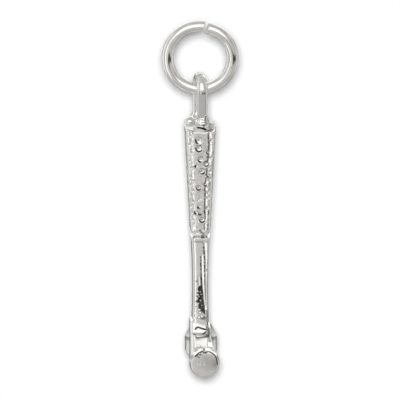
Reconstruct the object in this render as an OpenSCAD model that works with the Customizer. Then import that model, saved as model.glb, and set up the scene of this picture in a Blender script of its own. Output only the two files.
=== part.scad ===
// Claw-hammer pendant that hangs head down from an open jump ring.
// Origin at the centre of the jump ring, +Z up, striking face towards -Y, claws towards +Y.
// Sizes are in millimetres and angles in degrees.

/* [Jump ring] */
// Outside diameter of the ring
ring_od = 6; // [5:0.1:9]
// Diameter of the ring's wire
ring_wire = 0.92; // [0.6:0.02:1.2]
// Width of the saw cut that lets the ring open
ring_cut = 0.36; // [0.2:0.02:0.8]
// Place of the saw cut, clockwise from the top of the ring
ring_cut_at = 10; // [0:1:40]
// Slant of the saw cut from a true radius
ring_cut_slant = 9; // [0:1:20]

/* [Bail] */
// Diameter of the bail's wire
bail_wire = 0.78; // [0.5:0.02:1]
// Play between the ring's wire and the inside of the bail's bend
bail_play = 0.12; // [0.1:0.01:0.3]
// Gap under the crown of the bend when the hammer hangs still
bail_crown_gap = 0.06; // [0.03:0.01:0.09]
// Height of the ring's wire above the top of the end cap
bail_reach = 2.3; // [1.9:0.02:3]
// Turn of the bail about the handle
bail_turn = 10; // [0:1:15]
// Depth of the sockets that the bail's feet are soldered into
foot_seat = 0.4; // [0.2:0.05:0.6]

/* [End cap] */
// Width of the end cap
cap_w = 2.39; // [2.1:0.01:3]
// Metal left in front of and behind the bail's feet
cap_margin = 0.09; // [0.05:0.01:0.3]
// Height of the end cap
cap_h = 0.78; // [0.72:0.02:1.4]
// Height of the rounded crown of the end cap
cap_crown = 0.52; // [0.3:0.02:0.54]
// Sideways run of the crown's rounding
cap_run = 0.6; // [0.3:0.02:0.7]
// Rounding of the lower rim
cap_rim = 0.16; // [0.05:0.01:0.18]
// Bevel across the corners of the cap
cap_bevel = 0.62; // [0.4:0.02:0.8]
// Softness of the cap's upright edges
cap_edge = 0.3; // [0.1:0.02:0.4]

/* [Grip] */
// Length of the grip
grip_len = 8.67; // [6:0.05:12]
// Width of the grip at the end cap
grip_top_w = 2.52; // [2:0.02:3]
// Width of the grip half way down
grip_mid_w = 2.04; // [1.7:0.02:2.8]
// Width of the grip where it meets the shaft
grip_end_w = 1.65; // [1.5:0.02:2.4]
// Depth of the grip at the end cap
grip_top_d = 3; // [2.4:0.02:3.4]
// Depth of the grip half way down
grip_mid_d = 2.5; // [2.1:0.02:3]
// Depth of the grip where it meets the shaft
grip_end_d = 2.08; // [1.8:0.02:2.6]
// Bevel of the grip's corners at the end cap
grip_top_bevel = 0.6; // [0.3:0.02:0.8]
// Bevel of the grip's corners where it meets the shaft
grip_end_bevel = 0.35; // [0.2:0.01:0.5]
// Softness of the ridges between the grip's flats
grip_edge = 0.12; // [0.05:0.01:0.2]
// Rounding of the grip's upper rim
grip_top_round = 0.14; // [0.05:0.01:0.25]
// Rounding of the grip's lower end
grip_end_round = 0.3; // [0.1:0.02:0.4]
// Width of a dent punched in the grip
dent_w = 0.4; // [0.2:0.02:0.5]
// Depth of a dent
dent_deep = 0.08; // [0.04:0.01:0.12]
// Distance between dents along the grip
dent_pitch = 0.92; // [0.7:0.02:2]

/* [Shaft] */
// Length of the shaft between the grip and the head
shaft_len = 6.81; // [5:0.05:9]
// Width of the shaft at the grip
shaft_top_w = 1.51; // [1.3:0.01:1.6]
// Width of the shaft at its waist
shaft_mid_w = 1.28; // [1.1:0.01:1.5]
// Width of the shaft at the head
shaft_foot_w = 1.46; // [1.2:0.01:1.5]
// Depth of the shaft at the grip
shaft_top_d = 1.84; // [1.5:0.02:2.1]
// Depth of the shaft at its waist
shaft_mid_d = 1.56; // [1.3:0.02:1.9]
// Depth of the shaft at the head
shaft_foot_d = 1.7; // [1.4:0.02:1.9]
// Bevel of the shaft's corners
shaft_bevel = 0.3; // [0.15:0.01:0.4]
// Softness of the shaft's long edges
shaft_edge = 0.1; // [0.05:0.01:0.2]
// Rounding of the shaft's shoulder under the grip
shaft_round = 0.16; // [0.05:0.01:0.25]
// Diameter of the tang that fills the grip
tang_d = 0.9; // [0.6:0.02:1.1]
// Length of the tang
tang_len = 3; // [1.5:0.1:5]
// Diameter of the tenon that enters the head
tenon_d = 0.8; // [0.5:0.02:1]
// Length of the tenon
tenon_len = 1.2; // [0.6:0.05:2]

/* [Head] */
// Height of the eye's top above the axis of the poll
eye_rise = 2.58; // [2.3:0.02:3]
// Depth of the eye below the axis of the poll
eye_drop = 1.1; // [0.9:0.02:1.3]
// Width of the eye
eye_w = 1.56; // [1.4:0.02:1.9]
// Depth of the eye at its top, front to back
eye_d = 1.86; // [1.7:0.02:2.2]
// Bevel of the eye's corners
eye_bevel = 0.3; // [0.15:0.01:0.4]
// Softness of the eye's upright edges
eye_edge = 0.14; // [0.05:0.01:0.25]
// Rounding of the eye's rims, above and below
eye_round = 0.16; // [0.05:0.01:0.25]
// Radius of the hollow curve from the eye to the poll and to the claws
eye_sweep = 0.5; // [0.3:0.02:0.6]
// Distance from the handle's axis to the striking face
poll_reach = 4.6; // [3.8:0.05:6]
// Sideways lean of the poll, as cast
poll_lean = 5; // [0:0.5:6]
// Diameter of the bell behind the striking face
bell_d = 2.4; // [2.3:0.02:3]
// Length of the bell
bell_len = 1.25; // [0.9:0.05:1.6]
// Diameter of the flat of the striking face
face_d = 2.06; // [1.6:0.02:2.1]
// Length of the bevel round the striking face
face_bevel = 0.2; // [0.1:0.02:0.35]
// Crown of the striking face at its middle
face_crown = 0.05; // [0.02:0.01:0.1]
// Rounding of the bell's back edge
bell_round = 0.3; // [0.1:0.02:0.4]
// Width of the neck between the bell and the eye
neck_w = 1.44; // [1.2:0.02:1.5]
// Height of the neck above the axis of the poll, at the eye
neck_root = 1.48; // [1.2:0.02:1.6]
// Height of the neck above the axis of the poll, at the bell
neck_rise = 1.14; // [0.9:0.02:1.15]
// Depth of the neck below the axis of the poll
neck_drop = 0.92; // [0.7:0.02:1.05]
// Rounding of the neck's long edges
neck_round = 0.5; // [0.3:0.02:0.55]
// Distance from the handle's axis to the tips of the claws
claw_reach = 5.2; // [4.4:0.05:6.5]
// Width across both claws where they are widest
claw_spread = 2.56; // [2.2:0.02:3.2]
// Height of the claws' upper face at the eye, above the axis of the poll
claw_root_top = 0.95; // [0.7:0.02:1.1]
// Height of the claws' upper face half way along, above the axis of the poll
claw_mid_top = 0.42; // [0.3:0.02:0.6]
// Height of the claws' upper face at the tips, above the axis of the poll
claw_tip_top = 0.84; // [0.6:0.02:1]
// How late the claws' underside turns up
claw_turn = 2.5; // [1.8:0.1:3]
// Length over which the claws widen
claw_flare = 2.3; // [1.6:0.05:2.6]
// Narrowing of each claw's outer edge towards its tip
claw_narrow = 0.66; // [0.4:0.02:0.7]
// Length over which the outer edge narrows
claw_narrow_len = 1.8; // [1:0.05:2]
// Thickness of the claws at their tips
claw_tip_t = 0.22; // [0.15:0.01:0.4]
// Distance from the handle's axis to the root of the nail slot
slot_root = 2; // [1.6:0.05:2.6]
// Width of the nail slot at its root
slot_root_w = 0.16; // [0.1:0.01:0.3]
// Width of the nail slot at the tips
slot_tip_w = 0.54; // [0.4:0.02:0.8]

/* [Fits] */
// Solder gap round a peg in its socket
solder_gap = 0.02; // [0.01:0.005:0.04]

/* [Hidden] */

silver = "#d8d6d1";
silver_pale = "#e6e4e0";
silver_grey = "#bcb9b4";
// Segments of a full round and of a dent, and steps along a quarter round or a long curve
round_fn = 64;
dent_fn = 32;
arc_steps = 4;
curve_steps = 10;
// A cut runs this far past the face that it opens
past = 0.5;

// Heights of the joints between the pieces, from the ring's centre downwards
ring_r = (ring_od - ring_wire) / 2;
hang_z = -ring_r;
cap_top = hang_z - bail_reach;
grip_top = cap_top - cap_h;
shaft_top = grip_top - grip_len;
head_top = shaft_top - shaft_len;
poll_z = head_top - eye_rise;

// The bail's bend hugs the ring's wire, and its feet set the depth of the cap
bend_r = (ring_wire + bail_wire) / 2 + bail_play;
bend_z = hang_z - bail_play + bail_crown_gap;
foot_z = cap_top - foot_seat;
cap_d = 2 * bend_r + bail_wire + 2 * cap_margin;

// Value a part t of the way along a piece that has sizes at its two ends and its middle
function along(t, top, mid, end) =
    top * (1 - t) * (1 - 2 * t) + mid * 4 * t * (1 - t) + end * t * (2 * t - 1);

// How far a rim that is rounded to r stands in, at an angle round its quarter circle, and how deep that lies
function rim_in(r, a) = r * (1 - sin(a));
function rim_deep(r, a) = r * (1 - cos(a));

// Section with half sizes a and b, bevelled corners and softened edges, at height z
eighth = 360 / 8;

function eight_sided(a, b, bevel, soft, z) = [
    for (j = [0:7])
        let (
            wide = (j % 4 == 0 || j % 4 == 3),
            x = (wide ? a : a - bevel) * ((j < 2 || j > 5) ? 1 : -1),
            y = (wide ? b - bevel : b) * (j < 4 ? 1 : -1),
            mid = eighth * (j + 0.5),
            inset = soft / cos(eighth / 2)
        )
        for (s = [0:2])
            [
                x - inset * cos(mid) + soft * cos(eighth * (j + s / 2)),
                y - inset * sin(mid) + soft * sin(eighth * (j + s / 2)),
                z
            ]
];

// Solid skinned over sections that are listed from the lowest to the highest
module loft(sections) {
    n = len(sections[0]);
    last = len(sections) - 1;
    sides = [
        for (k = [0:last - 1], i = [0:n - 1])
            [k * n + i, (k + 1) * n + i, (k + 1) * n + (i + 1) % n, k * n + (i + 1) % n]
    ];
    lowest = [for (i = [0:n - 1]) i];
    highest = [for (i = [n - 1:-1:0]) last * n + i];
    polyhedron([for (s = sections) each s], concat([lowest, highest], sides));
}

// Rectangle of half width a from y0 to y1 with its corners rounded to r
function soft_box(a, y0, y1, r) = [
    for (q = [[1, y1 - r, 0], [-1, y1 - r, 90], [-1, y0 + r, 180], [1, y0 + r, 270]])
        for (s = [0:arc_steps])
            [q[0] * (a - r) + r * cos(q[2] + 90 * s / arc_steps), q[1] + r * sin(q[2] + 90 * s / arc_steps)]
];

// Round wire bent into a ring, sawn through near the top
module jump_ring() {
    color(silver_pale)
        difference() {
            rotate([90, 0, 0])
                rotate_extrude($fn = round_fn)
                    translate([ring_r, 0])
                        circle(d = ring_wire, $fn = round_fn);
            rotate([0, ring_cut_at, 0])
                translate([0, 0, ring_r])
                    rotate([0, ring_cut_slant, 0])
                        cube([ring_cut, ring_wire + past, ring_wire + past], center = true);
        }
}

// Straight legs of the bail, with room round them and below them where they cut the sockets
module bail_legs(room) {
    for (side = [-1, 1])
        translate([0, side * bend_r, foot_z - room])
            cylinder(d = bail_wire + 2 * room, h = bend_z - foot_z + room, $fn = round_fn);
}

// Wire staple that hugs the ring
module bail() {
    color(silver)
        rotate([0, 0, bail_turn]) {
            bail_legs(0);
            translate([0, 0, bend_z])
                rotate([90, 0, 90])
                    rotate_extrude(angle = 180, $fn = round_fn)
                        translate([bend_r, 0])
                            circle(d = bail_wire, $fn = round_fn);
        }
}

// Sections of the cap at its rounded lower rim, then over its crown
function cap_section(inset, z) =
    eight_sided(cap_w / 2 - inset, cap_d / 2 - inset, cap_bevel * (1 - inset / cap_w), cap_edge, z);

cap_sections = concat(
    [for (i = [0:arc_steps])
        let (a = 90 * i / arc_steps)
        cap_section(rim_in(cap_rim, a), grip_top + rim_deep(cap_rim, a))],
    [for (i = [0:curve_steps])
        let (a = 90 * i / curve_steps)
        cap_section(cap_run * (1 - cos(a)), cap_top - cap_crown * (1 - sin(a)))]
);

// Domed pommel, with two sockets for the feet of the bail
module end_cap() {
    color(silver)
        difference() {
            loft(cap_sections);
            rotate([0, 0, bail_turn])
                bail_legs(solder_gap);
        }
}

// Section of the grip, a part t of the way down it
function grip_section(t, inset) =
    eight_sided(
        along(t, grip_top_w, grip_mid_w, grip_end_w) / 2 - inset,
        along(t, grip_top_d, grip_mid_d, grip_end_d) / 2 - inset,
        grip_top_bevel + (grip_end_bevel - grip_top_bevel) * t,
        grip_edge,
        grip_top - grip_len * t
    );

grip_sections = concat(
    [for (i = [0:arc_steps])
        let (a = 90 * i / arc_steps)
        grip_section(1 - rim_deep(grip_end_round, a) / grip_len, rim_in(grip_end_round, a))],
    [for (i = [curve_steps - 1:-1:1]) grip_section(i / curve_steps, 0)],
    [for (i = [arc_steps:-1:0])
        let (a = 90 * i / arc_steps)
        grip_section(rim_deep(grip_top_round, a) / grip_len, rim_in(grip_top_round, a))]
);

// Ball that leaves a dent of the given width and depth
dent_r = (dent_w * dent_w / 4 + dent_deep * dent_deep) / (2 * dent_deep);
dents = floor((grip_len - 2 * grip_end_round) / dent_pitch);
dent_wander = 0.22;
// Turn between neighbours that never repeats, so that the dents look struck by hand
golden = 137.5;

// How far the grip's flat that faces a given way lies from the axis, a part t of the way down
function flat_off(face, t) =
    let (
        w = along(t, grip_top_w, grip_mid_w, grip_end_w) / 2,
        d = along(t, grip_top_d, grip_mid_d, grip_end_d) / 2,
        bevel = grip_top_bevel + (grip_end_bevel - grip_top_bevel) * t
    )
    face % 4 == 0 ? w : (face % 4 == 2 ? d : (w + d - bevel) / sqrt(2));

// Dents down each of the grip's eight flats
module dent_balls() {
    for (face = [0:7], i = [0:dents - 1]) {
        t = (grip_end_round + dent_pitch * (i + 0.5 + dent_wander * sin(golden * (i + 5 * face)))) / grip_len;
        // On a slanting flat the middle lies to one side of the corner line
        shift = face % 2 == 0 ? 0 : (along(t, grip_top_d, grip_mid_d, grip_end_d)
            - along(t, grip_top_w, grip_mid_w, grip_end_w)) / (2 * sqrt(2)) * (face % 4 == 1 ? 1 : -1);
        rotate([0, 0, eighth * face])
            translate([
                flat_off(face, t) + dent_r - dent_deep,
                shift + dent_wander * cos(golden * (2 * i + face)),
                grip_top - grip_len * t
            ])
                sphere(r = dent_r, $fn = dent_fn);
    }
}

// Dented sleeve round the tang
module grip() {
    color(silver_grey)
        difference() {
            loft(grip_sections);
            translate([0, 0, shaft_top - past])
                cylinder(d = tang_d + 2 * solder_gap, h = tang_len + past + solder_gap, $fn = round_fn);
            dent_balls();
        }
}

// Section of the shaft, a part t of the way down it
function shaft_section(t, inset) =
    eight_sided(
        along(t, shaft_top_w, shaft_mid_w, shaft_foot_w) / 2 - inset,
        along(t, shaft_top_d, shaft_mid_d, shaft_foot_d) / 2 - inset,
        shaft_bevel,
        shaft_edge,
        shaft_top - shaft_len * t
    );

shaft_sections = concat(
    [for (i = [curve_steps:-1:1]) shaft_section(i / curve_steps, 0)],
    [for (i = [arc_steps:-1:0])
        let (a = 90 * i / arc_steps)
        shaft_section(rim_deep(shaft_round, a) / shaft_len, rim_in(shaft_round, a))]
);

// Waisted bar with a tang above and a tenon below
module shaft() {
    color(silver_pale) {
        loft(shaft_sections);
        translate([0, 0, shaft_top - shaft_round])
            cylinder(d = tang_d, h = tang_len + shaft_round, $fn = round_fn);
        translate([0, 0, head_top - tenon_len])
            cylinder(d = tenon_d, h = tenon_len + shaft_round, $fn = round_fn);
    }
}

// Striking end, turned about the poll's own axis
module bell() {
    back = poll_reach - bell_len;
    crown_r = (face_d * face_d / 4 + face_crown * face_crown) / (2 * face_crown);
    flat_z = poll_reach - face_crown;
    outline = concat(
        [[0, back]],
        [for (i = [0:arc_steps])
            let (a = 90 * i / arc_steps)
            [bell_d / 2 - rim_in(bell_round, a), back + rim_deep(bell_round, a)]],
        [[bell_d / 2, flat_z - face_bevel]],
        [for (i = [0:arc_steps])
            let (r = face_d / 2 * (1 - i / arc_steps))
            [r, poll_reach - crown_r + sqrt(crown_r * crown_r - r * r)]]
    );
    rotate([90, 0, 0])
        rotate_extrude($fn = round_fn)
            polygon(outline);
}

// Bar with rounded edges that carries the bell, higher at the eye
function neck_section(rise, z) =
    [for (p = soft_box(neck_w / 2, -neck_drop, rise, neck_round)) [p[0], p[1], z]];

module neck() {
    rotate([90, 0, 0])
        loft([neck_section(neck_root, 0), neck_section(neck_rise, poll_reach - bell_len + bell_round)]);
}

// Socket block round the tenon, with a hollow sweep down to the poll and the claws
sweep_top = neck_root + eye_sweep;

function eye_flare(z) =
    z > sweep_top ? 0 : eye_sweep - sqrt(max(0, eye_sweep * eye_sweep - pow(sweep_top - max(z, neck_root), 2)));

function eye_section(inset, z) =
    eight_sided(
        eye_w / 2 - inset,
        eye_d / 2 + eye_flare(z) - inset,
        eye_bevel,
        eye_edge,
        z
    );

eye_sections = concat(
    [for (i = [0:arc_steps])
        let (a = 90 * i / arc_steps)
        eye_section(rim_in(eye_round, a), rim_deep(eye_round, a) - eye_drop)],
    [for (i = [0:curve_steps])
        let (a = 90 * i / curve_steps)
        eye_section(0, neck_root + eye_sweep * (1 - cos(a)))],
    [for (i = [arc_steps:-1:0])
        let (a = 90 * i / arc_steps)
        eye_section(rim_in(eye_round, a), eye_rise - rim_deep(eye_round, a))]
);

// Side view of the claws, along Y and up Z
claw_start = eye_d / 2;
function claw_y(t) = claw_start + (claw_reach - claw_start) * t;
function claw_top(t) = along(t, claw_root_top, claw_mid_top, claw_tip_top);
function claw_under(t) = -eye_drop + (claw_tip_top - claw_tip_t + eye_drop) * pow(t, claw_turn);

claw_side = concat(
    [[0, claw_root_top], [0, -eye_drop]],
    [for (i = [0:curve_steps]) let (t = i / curve_steps) [claw_y(t), claw_under(t)]],
    [for (i = [curve_steps:-1:0]) let (t = i / curve_steps) [claw_y(t), claw_top(t)]]
);

// Plan of the claws, from the eye's width out to their full spread and in again to their tips
function claw_half(y) =
    eye_w / 2 + (claw_spread - eye_w) / 2 * pow(sin(90 * min(1, (y - claw_start) / claw_flare)), 2);

claw_wide = claw_reach - claw_narrow_len;
claw_edge = concat(
    [[eye_w / 2, 0]],
    [for (i = [0:curve_steps])
        let (y = claw_start + (claw_wide - claw_start) * i / curve_steps)
        [claw_half(y), y]],
    [for (i = [1:curve_steps])
        let (a = 90 * i / curve_steps)
        [claw_half(claw_wide) - claw_narrow * (1 - cos(a)), claw_wide + claw_narrow_len * sin(a)]]
);

claw_plan = concat(claw_edge, [for (i = [len(claw_edge) - 1:-1:0]) [-claw_edge[i][0], claw_edge[i][1]]]);

// Tapering slot for a nail, open at the tips and rounded at its root
module nail_slot() {
    tip = claw_reach + past;
    tip_w = slot_root_w + (slot_tip_w - slot_root_w) * (tip - slot_root) / (claw_reach - slot_root);
    translate([0, 0, -eye_drop - past])
        linear_extrude(height = 2 * (eye_drop + past)) {
            polygon([
                [-slot_root_w / 2, slot_root],
                [slot_root_w / 2, slot_root],
                [tip_w / 2, tip],
                [-tip_w / 2, tip]
            ]);
            translate([0, slot_root])
                circle(d = slot_root_w, $fn = round_fn);
        }
}

// Pair of claws that curve up towards the handle
module claws() {
    difference() {
        intersection() {
            translate([-claw_spread, 0, 0])
                rotate([90, 0, 90])
                    linear_extrude(height = 2 * claw_spread)
                        polygon(claw_side);
            translate([0, 0, -eye_drop - past])
                linear_extrude(height = 2 * (eye_drop + past))
                    polygon(claw_plan);
        }
        nail_slot();
    }
}

// Head with its bell, neck, eye and claws, drawn about the axis of the poll
module head() {
    color(silver)
        translate([0, 0, poll_z])
            difference() {
                union() {
                    loft(eye_sections);
                    claws();
                    rotate([0, 0, poll_lean]) {
                        neck();
                        bell();
                    }
                }
                translate([0, 0, eye_rise - tenon_len - solder_gap])
                    cylinder(d = tenon_d + 2 * solder_gap, h = tenon_len + past, $fn = round_fn);
            }
}

jump_ring();
bail();
end_cap();
grip();
shaft();
head();
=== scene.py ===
"""Dresses the claw-hammer pendant: cast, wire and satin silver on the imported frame, in a pale studio."""

import math

import bmesh
import bpy
from bpy.props import FloatProperty, IntProperty, PointerProperty, StringProperty
from mathutils import Matrix, Vector
from mathutils.kdtree import KDTree


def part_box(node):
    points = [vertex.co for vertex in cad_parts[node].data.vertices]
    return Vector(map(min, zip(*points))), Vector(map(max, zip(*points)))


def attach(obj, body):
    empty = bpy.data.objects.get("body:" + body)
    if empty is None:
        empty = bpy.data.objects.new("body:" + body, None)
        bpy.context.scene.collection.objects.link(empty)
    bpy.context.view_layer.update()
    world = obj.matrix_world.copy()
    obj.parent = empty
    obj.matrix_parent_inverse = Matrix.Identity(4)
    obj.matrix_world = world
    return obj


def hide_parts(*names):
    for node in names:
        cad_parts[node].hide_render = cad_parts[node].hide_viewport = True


bl_info = {
    "name": "Hammer pendant",
    "version": (1, 0, 0),
    "blender": (4, 5, 0),
    "location": "3D View > Sidebar > Pendant",
    "description": "Models a silver claw-hammer pendant on its packed frame",
    "category": "Add Mesh",
}

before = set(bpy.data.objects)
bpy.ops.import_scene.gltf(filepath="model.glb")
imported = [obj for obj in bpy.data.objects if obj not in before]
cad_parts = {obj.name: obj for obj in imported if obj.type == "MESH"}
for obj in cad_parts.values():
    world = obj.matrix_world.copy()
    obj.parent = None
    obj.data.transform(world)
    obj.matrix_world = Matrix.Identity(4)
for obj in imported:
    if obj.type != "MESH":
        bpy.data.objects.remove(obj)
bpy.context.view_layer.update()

# Pieces are modelled with one Blender unit to the millimetre, because Blender's remesh stops at 0.1 mm,
# and are brought to metres when they are finished
MM = 0.001
# Distance within which two places count as the same
NEAR = 1e-4
# The ring is this much smaller than its solid, so that it stays in the solid's box
HAIR = 0.002
# Cell size at which overlapping cutters are melted into one
CUT_CELL = 0.025
UP = Vector((0, 0, 1))
# The photo looks down on the pendant from this angle
TILT = math.radians(15)
VIEWER = Vector((0, -math.cos(TILT), math.sin(TILT)))
VIEW_UP = Vector((0, math.sin(TILT), math.cos(TILT)))


def length(label, about, mm):
    """A size in metres, given by its length in millimetres."""
    return FloatProperty(name=label, description=about, default=mm * MM, unit="LENGTH", precision=5)


def angle(label, about, degrees):
    """An angle, given in degrees."""
    return FloatProperty(name=label, description=about, default=math.radians(degrees), subtype="ANGLE")


def portion(label, about, part):
    """A part of a whole."""
    return FloatProperty(name=label, description=about, default=part, min=0, max=1, subtype="FACTOR")


def tint(label, about, code):
    """A colour, given by its sRGB hex code."""
    return StringProperty(name=label, description=about, default=code)


def node_span(node, axis):
    """Lowest and highest place of a CAD node along one axis, in millimetres."""
    low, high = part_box(node)
    return low[axis] / MM, high[axis] / MM


def node_size(node, axis):
    """Reach of a CAD node along one axis, in millimetres."""
    low, high = node_span(node, axis)
    return high - low


class RingSizes(bpy.types.PropertyGroup):
    """Sizes of the jump ring."""
    outside: length("Outside", "Outside diameter of the ring", node_size("jump_ring", 0) - HAIR)
    wire: length("Wire", "Diameter of the ring's wire", node_size("jump_ring", 1))
    cut: length("Saw cut", "Width of the saw cut that lets the ring open", 0.36)
    cut_at: angle("Cut at", "Place of the cut, clockwise from the top", 9)
    slant: angle("Slant", "Slant of the cut from a true radius", 19)
    skew: angle("Skew", "Turn of the cut towards the viewer", 5)
    burr: length("Burr", "Chamfer that the file left on the sawn ends", 0.03)
    sprung: length("Sprung", "How far the right end has sprung inwards", 0.09)
    sprung_from: angle("Sprung from", "How far past the cut the right end begins to bend", 45)


class BailSizes(bpy.types.PropertyGroup):
    """Sizes of the wire bail."""
    wire: length("Wire", "Diameter of the bail's wire", 0.82)
    play: length("Play", "Gap between the ring's wire and the sides of the bend", 0.1)
    crown_gap: length("Crown gap", "Gap under the crown of the bend", 0.06)
    turn: angle("Turn", "Turn of the bail about the handle", 10)
    flat_off: length("Flat", "Distance from the front leg's middle to its filed flat", 0.32)
    flat_top: length("Flat top", "Height of the upper end of the filed flat", -2.62)
    flat_sunk: length("Flat sunk", "How far the filed flat goes down below the top of the cap", 0.2)
    flat_turn: angle("Flat turn", "Way that the filed flat faces", -5)
    sway: length("Sway", "How far the hand-bent wire wanders", 0.03)
    sway_len: length("Sway length", "Length over which the hand-bent wire wanders", 1.1)


class CapSizes(bpy.types.PropertyGroup):
    """Sizes of the end cap."""
    width: length("Width", "Width of the cap", 2.3)
    depth: length("Depth", "Depth of the cap, front to back", 2.6)
    corner: length("Corner", "Bevel of the upright corners", 0.62)
    shoulder: length("Shoulder", "Rounding of the upper edge", 0.6)
    rim: length("Rim", "Rounding of the lower edge", 0.05)
    slope_at: length("Slope", "Distance from the middle at which the right shoulder begins to fall", 0.5)
    solder: length("Solder", "Radius of the solder collar round each foot", 0.6)
    solder_tall: length("Solder height", "Height of the solder collar", 0.5)
    solder_up: length("Solder lift", "Height of the solder collar's middle above the cap", 0.06)


class GripSizes(bpy.types.PropertyGroup):
    """Sizes of the dented grip."""
    top_w: length("Top width", "Width at the end cap", 2.52)
    mid_w: length("Middle width", "Width half way down", 2.08)
    end_w: length("End width", "Width at the shaft", 1.65)
    top_d: length("Top depth", "Depth at the end cap", 3.0)
    mid_d: length("Middle depth", "Depth half way down", 2.5)
    end_d: length("End depth", "Depth at the shaft", 2.08)
    bevel: length("Bevel", "Bevel of the four corners at the end cap", 0.48)
    square: length("Right ridge", "How far the front's right ridge stands further out than the left", 0.3)
    draft: portion("Draft", "Width of the front's left half as a share of the back's", 0.89)
    draft_right: portion("Right draft", "Width of the front's right half as a share of the back's", 0.94)
    end_gap: length("End gap", "Gap from the grip's end to its seat, which a bead on the shaft fills", 0.2)
    ridge: length("Ridge", "Softening of the ridges beside the front and back", 0.26)
    outer: length("Outer ridge", "Softening of the ridges beside the sides", 0.3)
    dent: length("Dent", "Width of a punched dent", 0.42)
    dent_deep: length("Dent depth", "Depth of a punched dent", 0.07)
    dents: IntProperty(name="Dents", description="Dents spread round the sides and back", default=84)
    crisp: length("Right edge", "Softening of the front's right ridge", 0.06)
    top_round: length("Top rounding", "Rounding of the upper rim", 0.15)
    end_round: length("End rounding", "Rounding of the lower rim", 0.36)
    clear_top: length("Clear top", "Height at the top without dents", 0.35)
    clear_end: length("Clear end", "Height at the end without dents", 0.45)
    groove: length("Groove", "Half the width of the groove down the right ridge", 0.18)


class ShaftSizes(bpy.types.PropertyGroup):
    """Sizes of the waisted shaft."""
    top_w: length("Top width", "Width under the grip", 1.56)
    mid_w: length("Waist", "Width at the waist", 1.28)
    end_w: length("Foot width", "Width at the head", 1.38)
    top_d: length("Top depth", "Depth under the grip", 1.82)
    mid_d: length("Waist depth", "Depth at the waist", 1.56)
    end_d: length("Foot depth", "Depth at the head", 1.7)
    bevel: length("Bevel", "Bevel of the four corners", 0.28)
    draft: portion("Draft", "Width of the front's left half as a share of the back's", 0.84)
    draft_right: portion("Right draft", "Width of the front's right half as a share of the back's", 0.93)
    collar: length("Collar", "Height of the collar under the grip", 0.26)
    outer: length("Outer ridge", "Softening of the ridges beside the sides", 0.1)
    seat: length("Seat", "How far the shaft goes down into the slanting top of the eye", 0.5)
    neck_in: length("Groove", "How far the groove above the collar goes in", 0.26)
    bead: length("Bead", "Height of the bead under the grip above the shaft's shoulder", 0.24)
    bead_in: length("Bead inset", "How much narrower the bead is than the shaft's top", 0.2)
    bead_low: length("Bead foot", "Height of the bead's lower end above the shaft's shoulder", 0.02)
    collar_out: length("Collar overhang", "How far the collar stands out from the shaft", 0.04)
    neck_tall: length("Groove height", "Height of the groove above the collar", 0.12)
    corner: length("Right corner", "What is left of the bevel at the right front corner", 0.04)
    left_out: length("Left bevel", "How much further to the front the left bevel begins", 0.1)
    ridge: length("Ridge", "Softening of the front's left ridge", 0.15)
    crisp: length("Right edge", "Softening of the front's right ridge", 0.05)
    tang: length("Tang", "Length of the tang inside the grip", 0.5)


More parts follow.
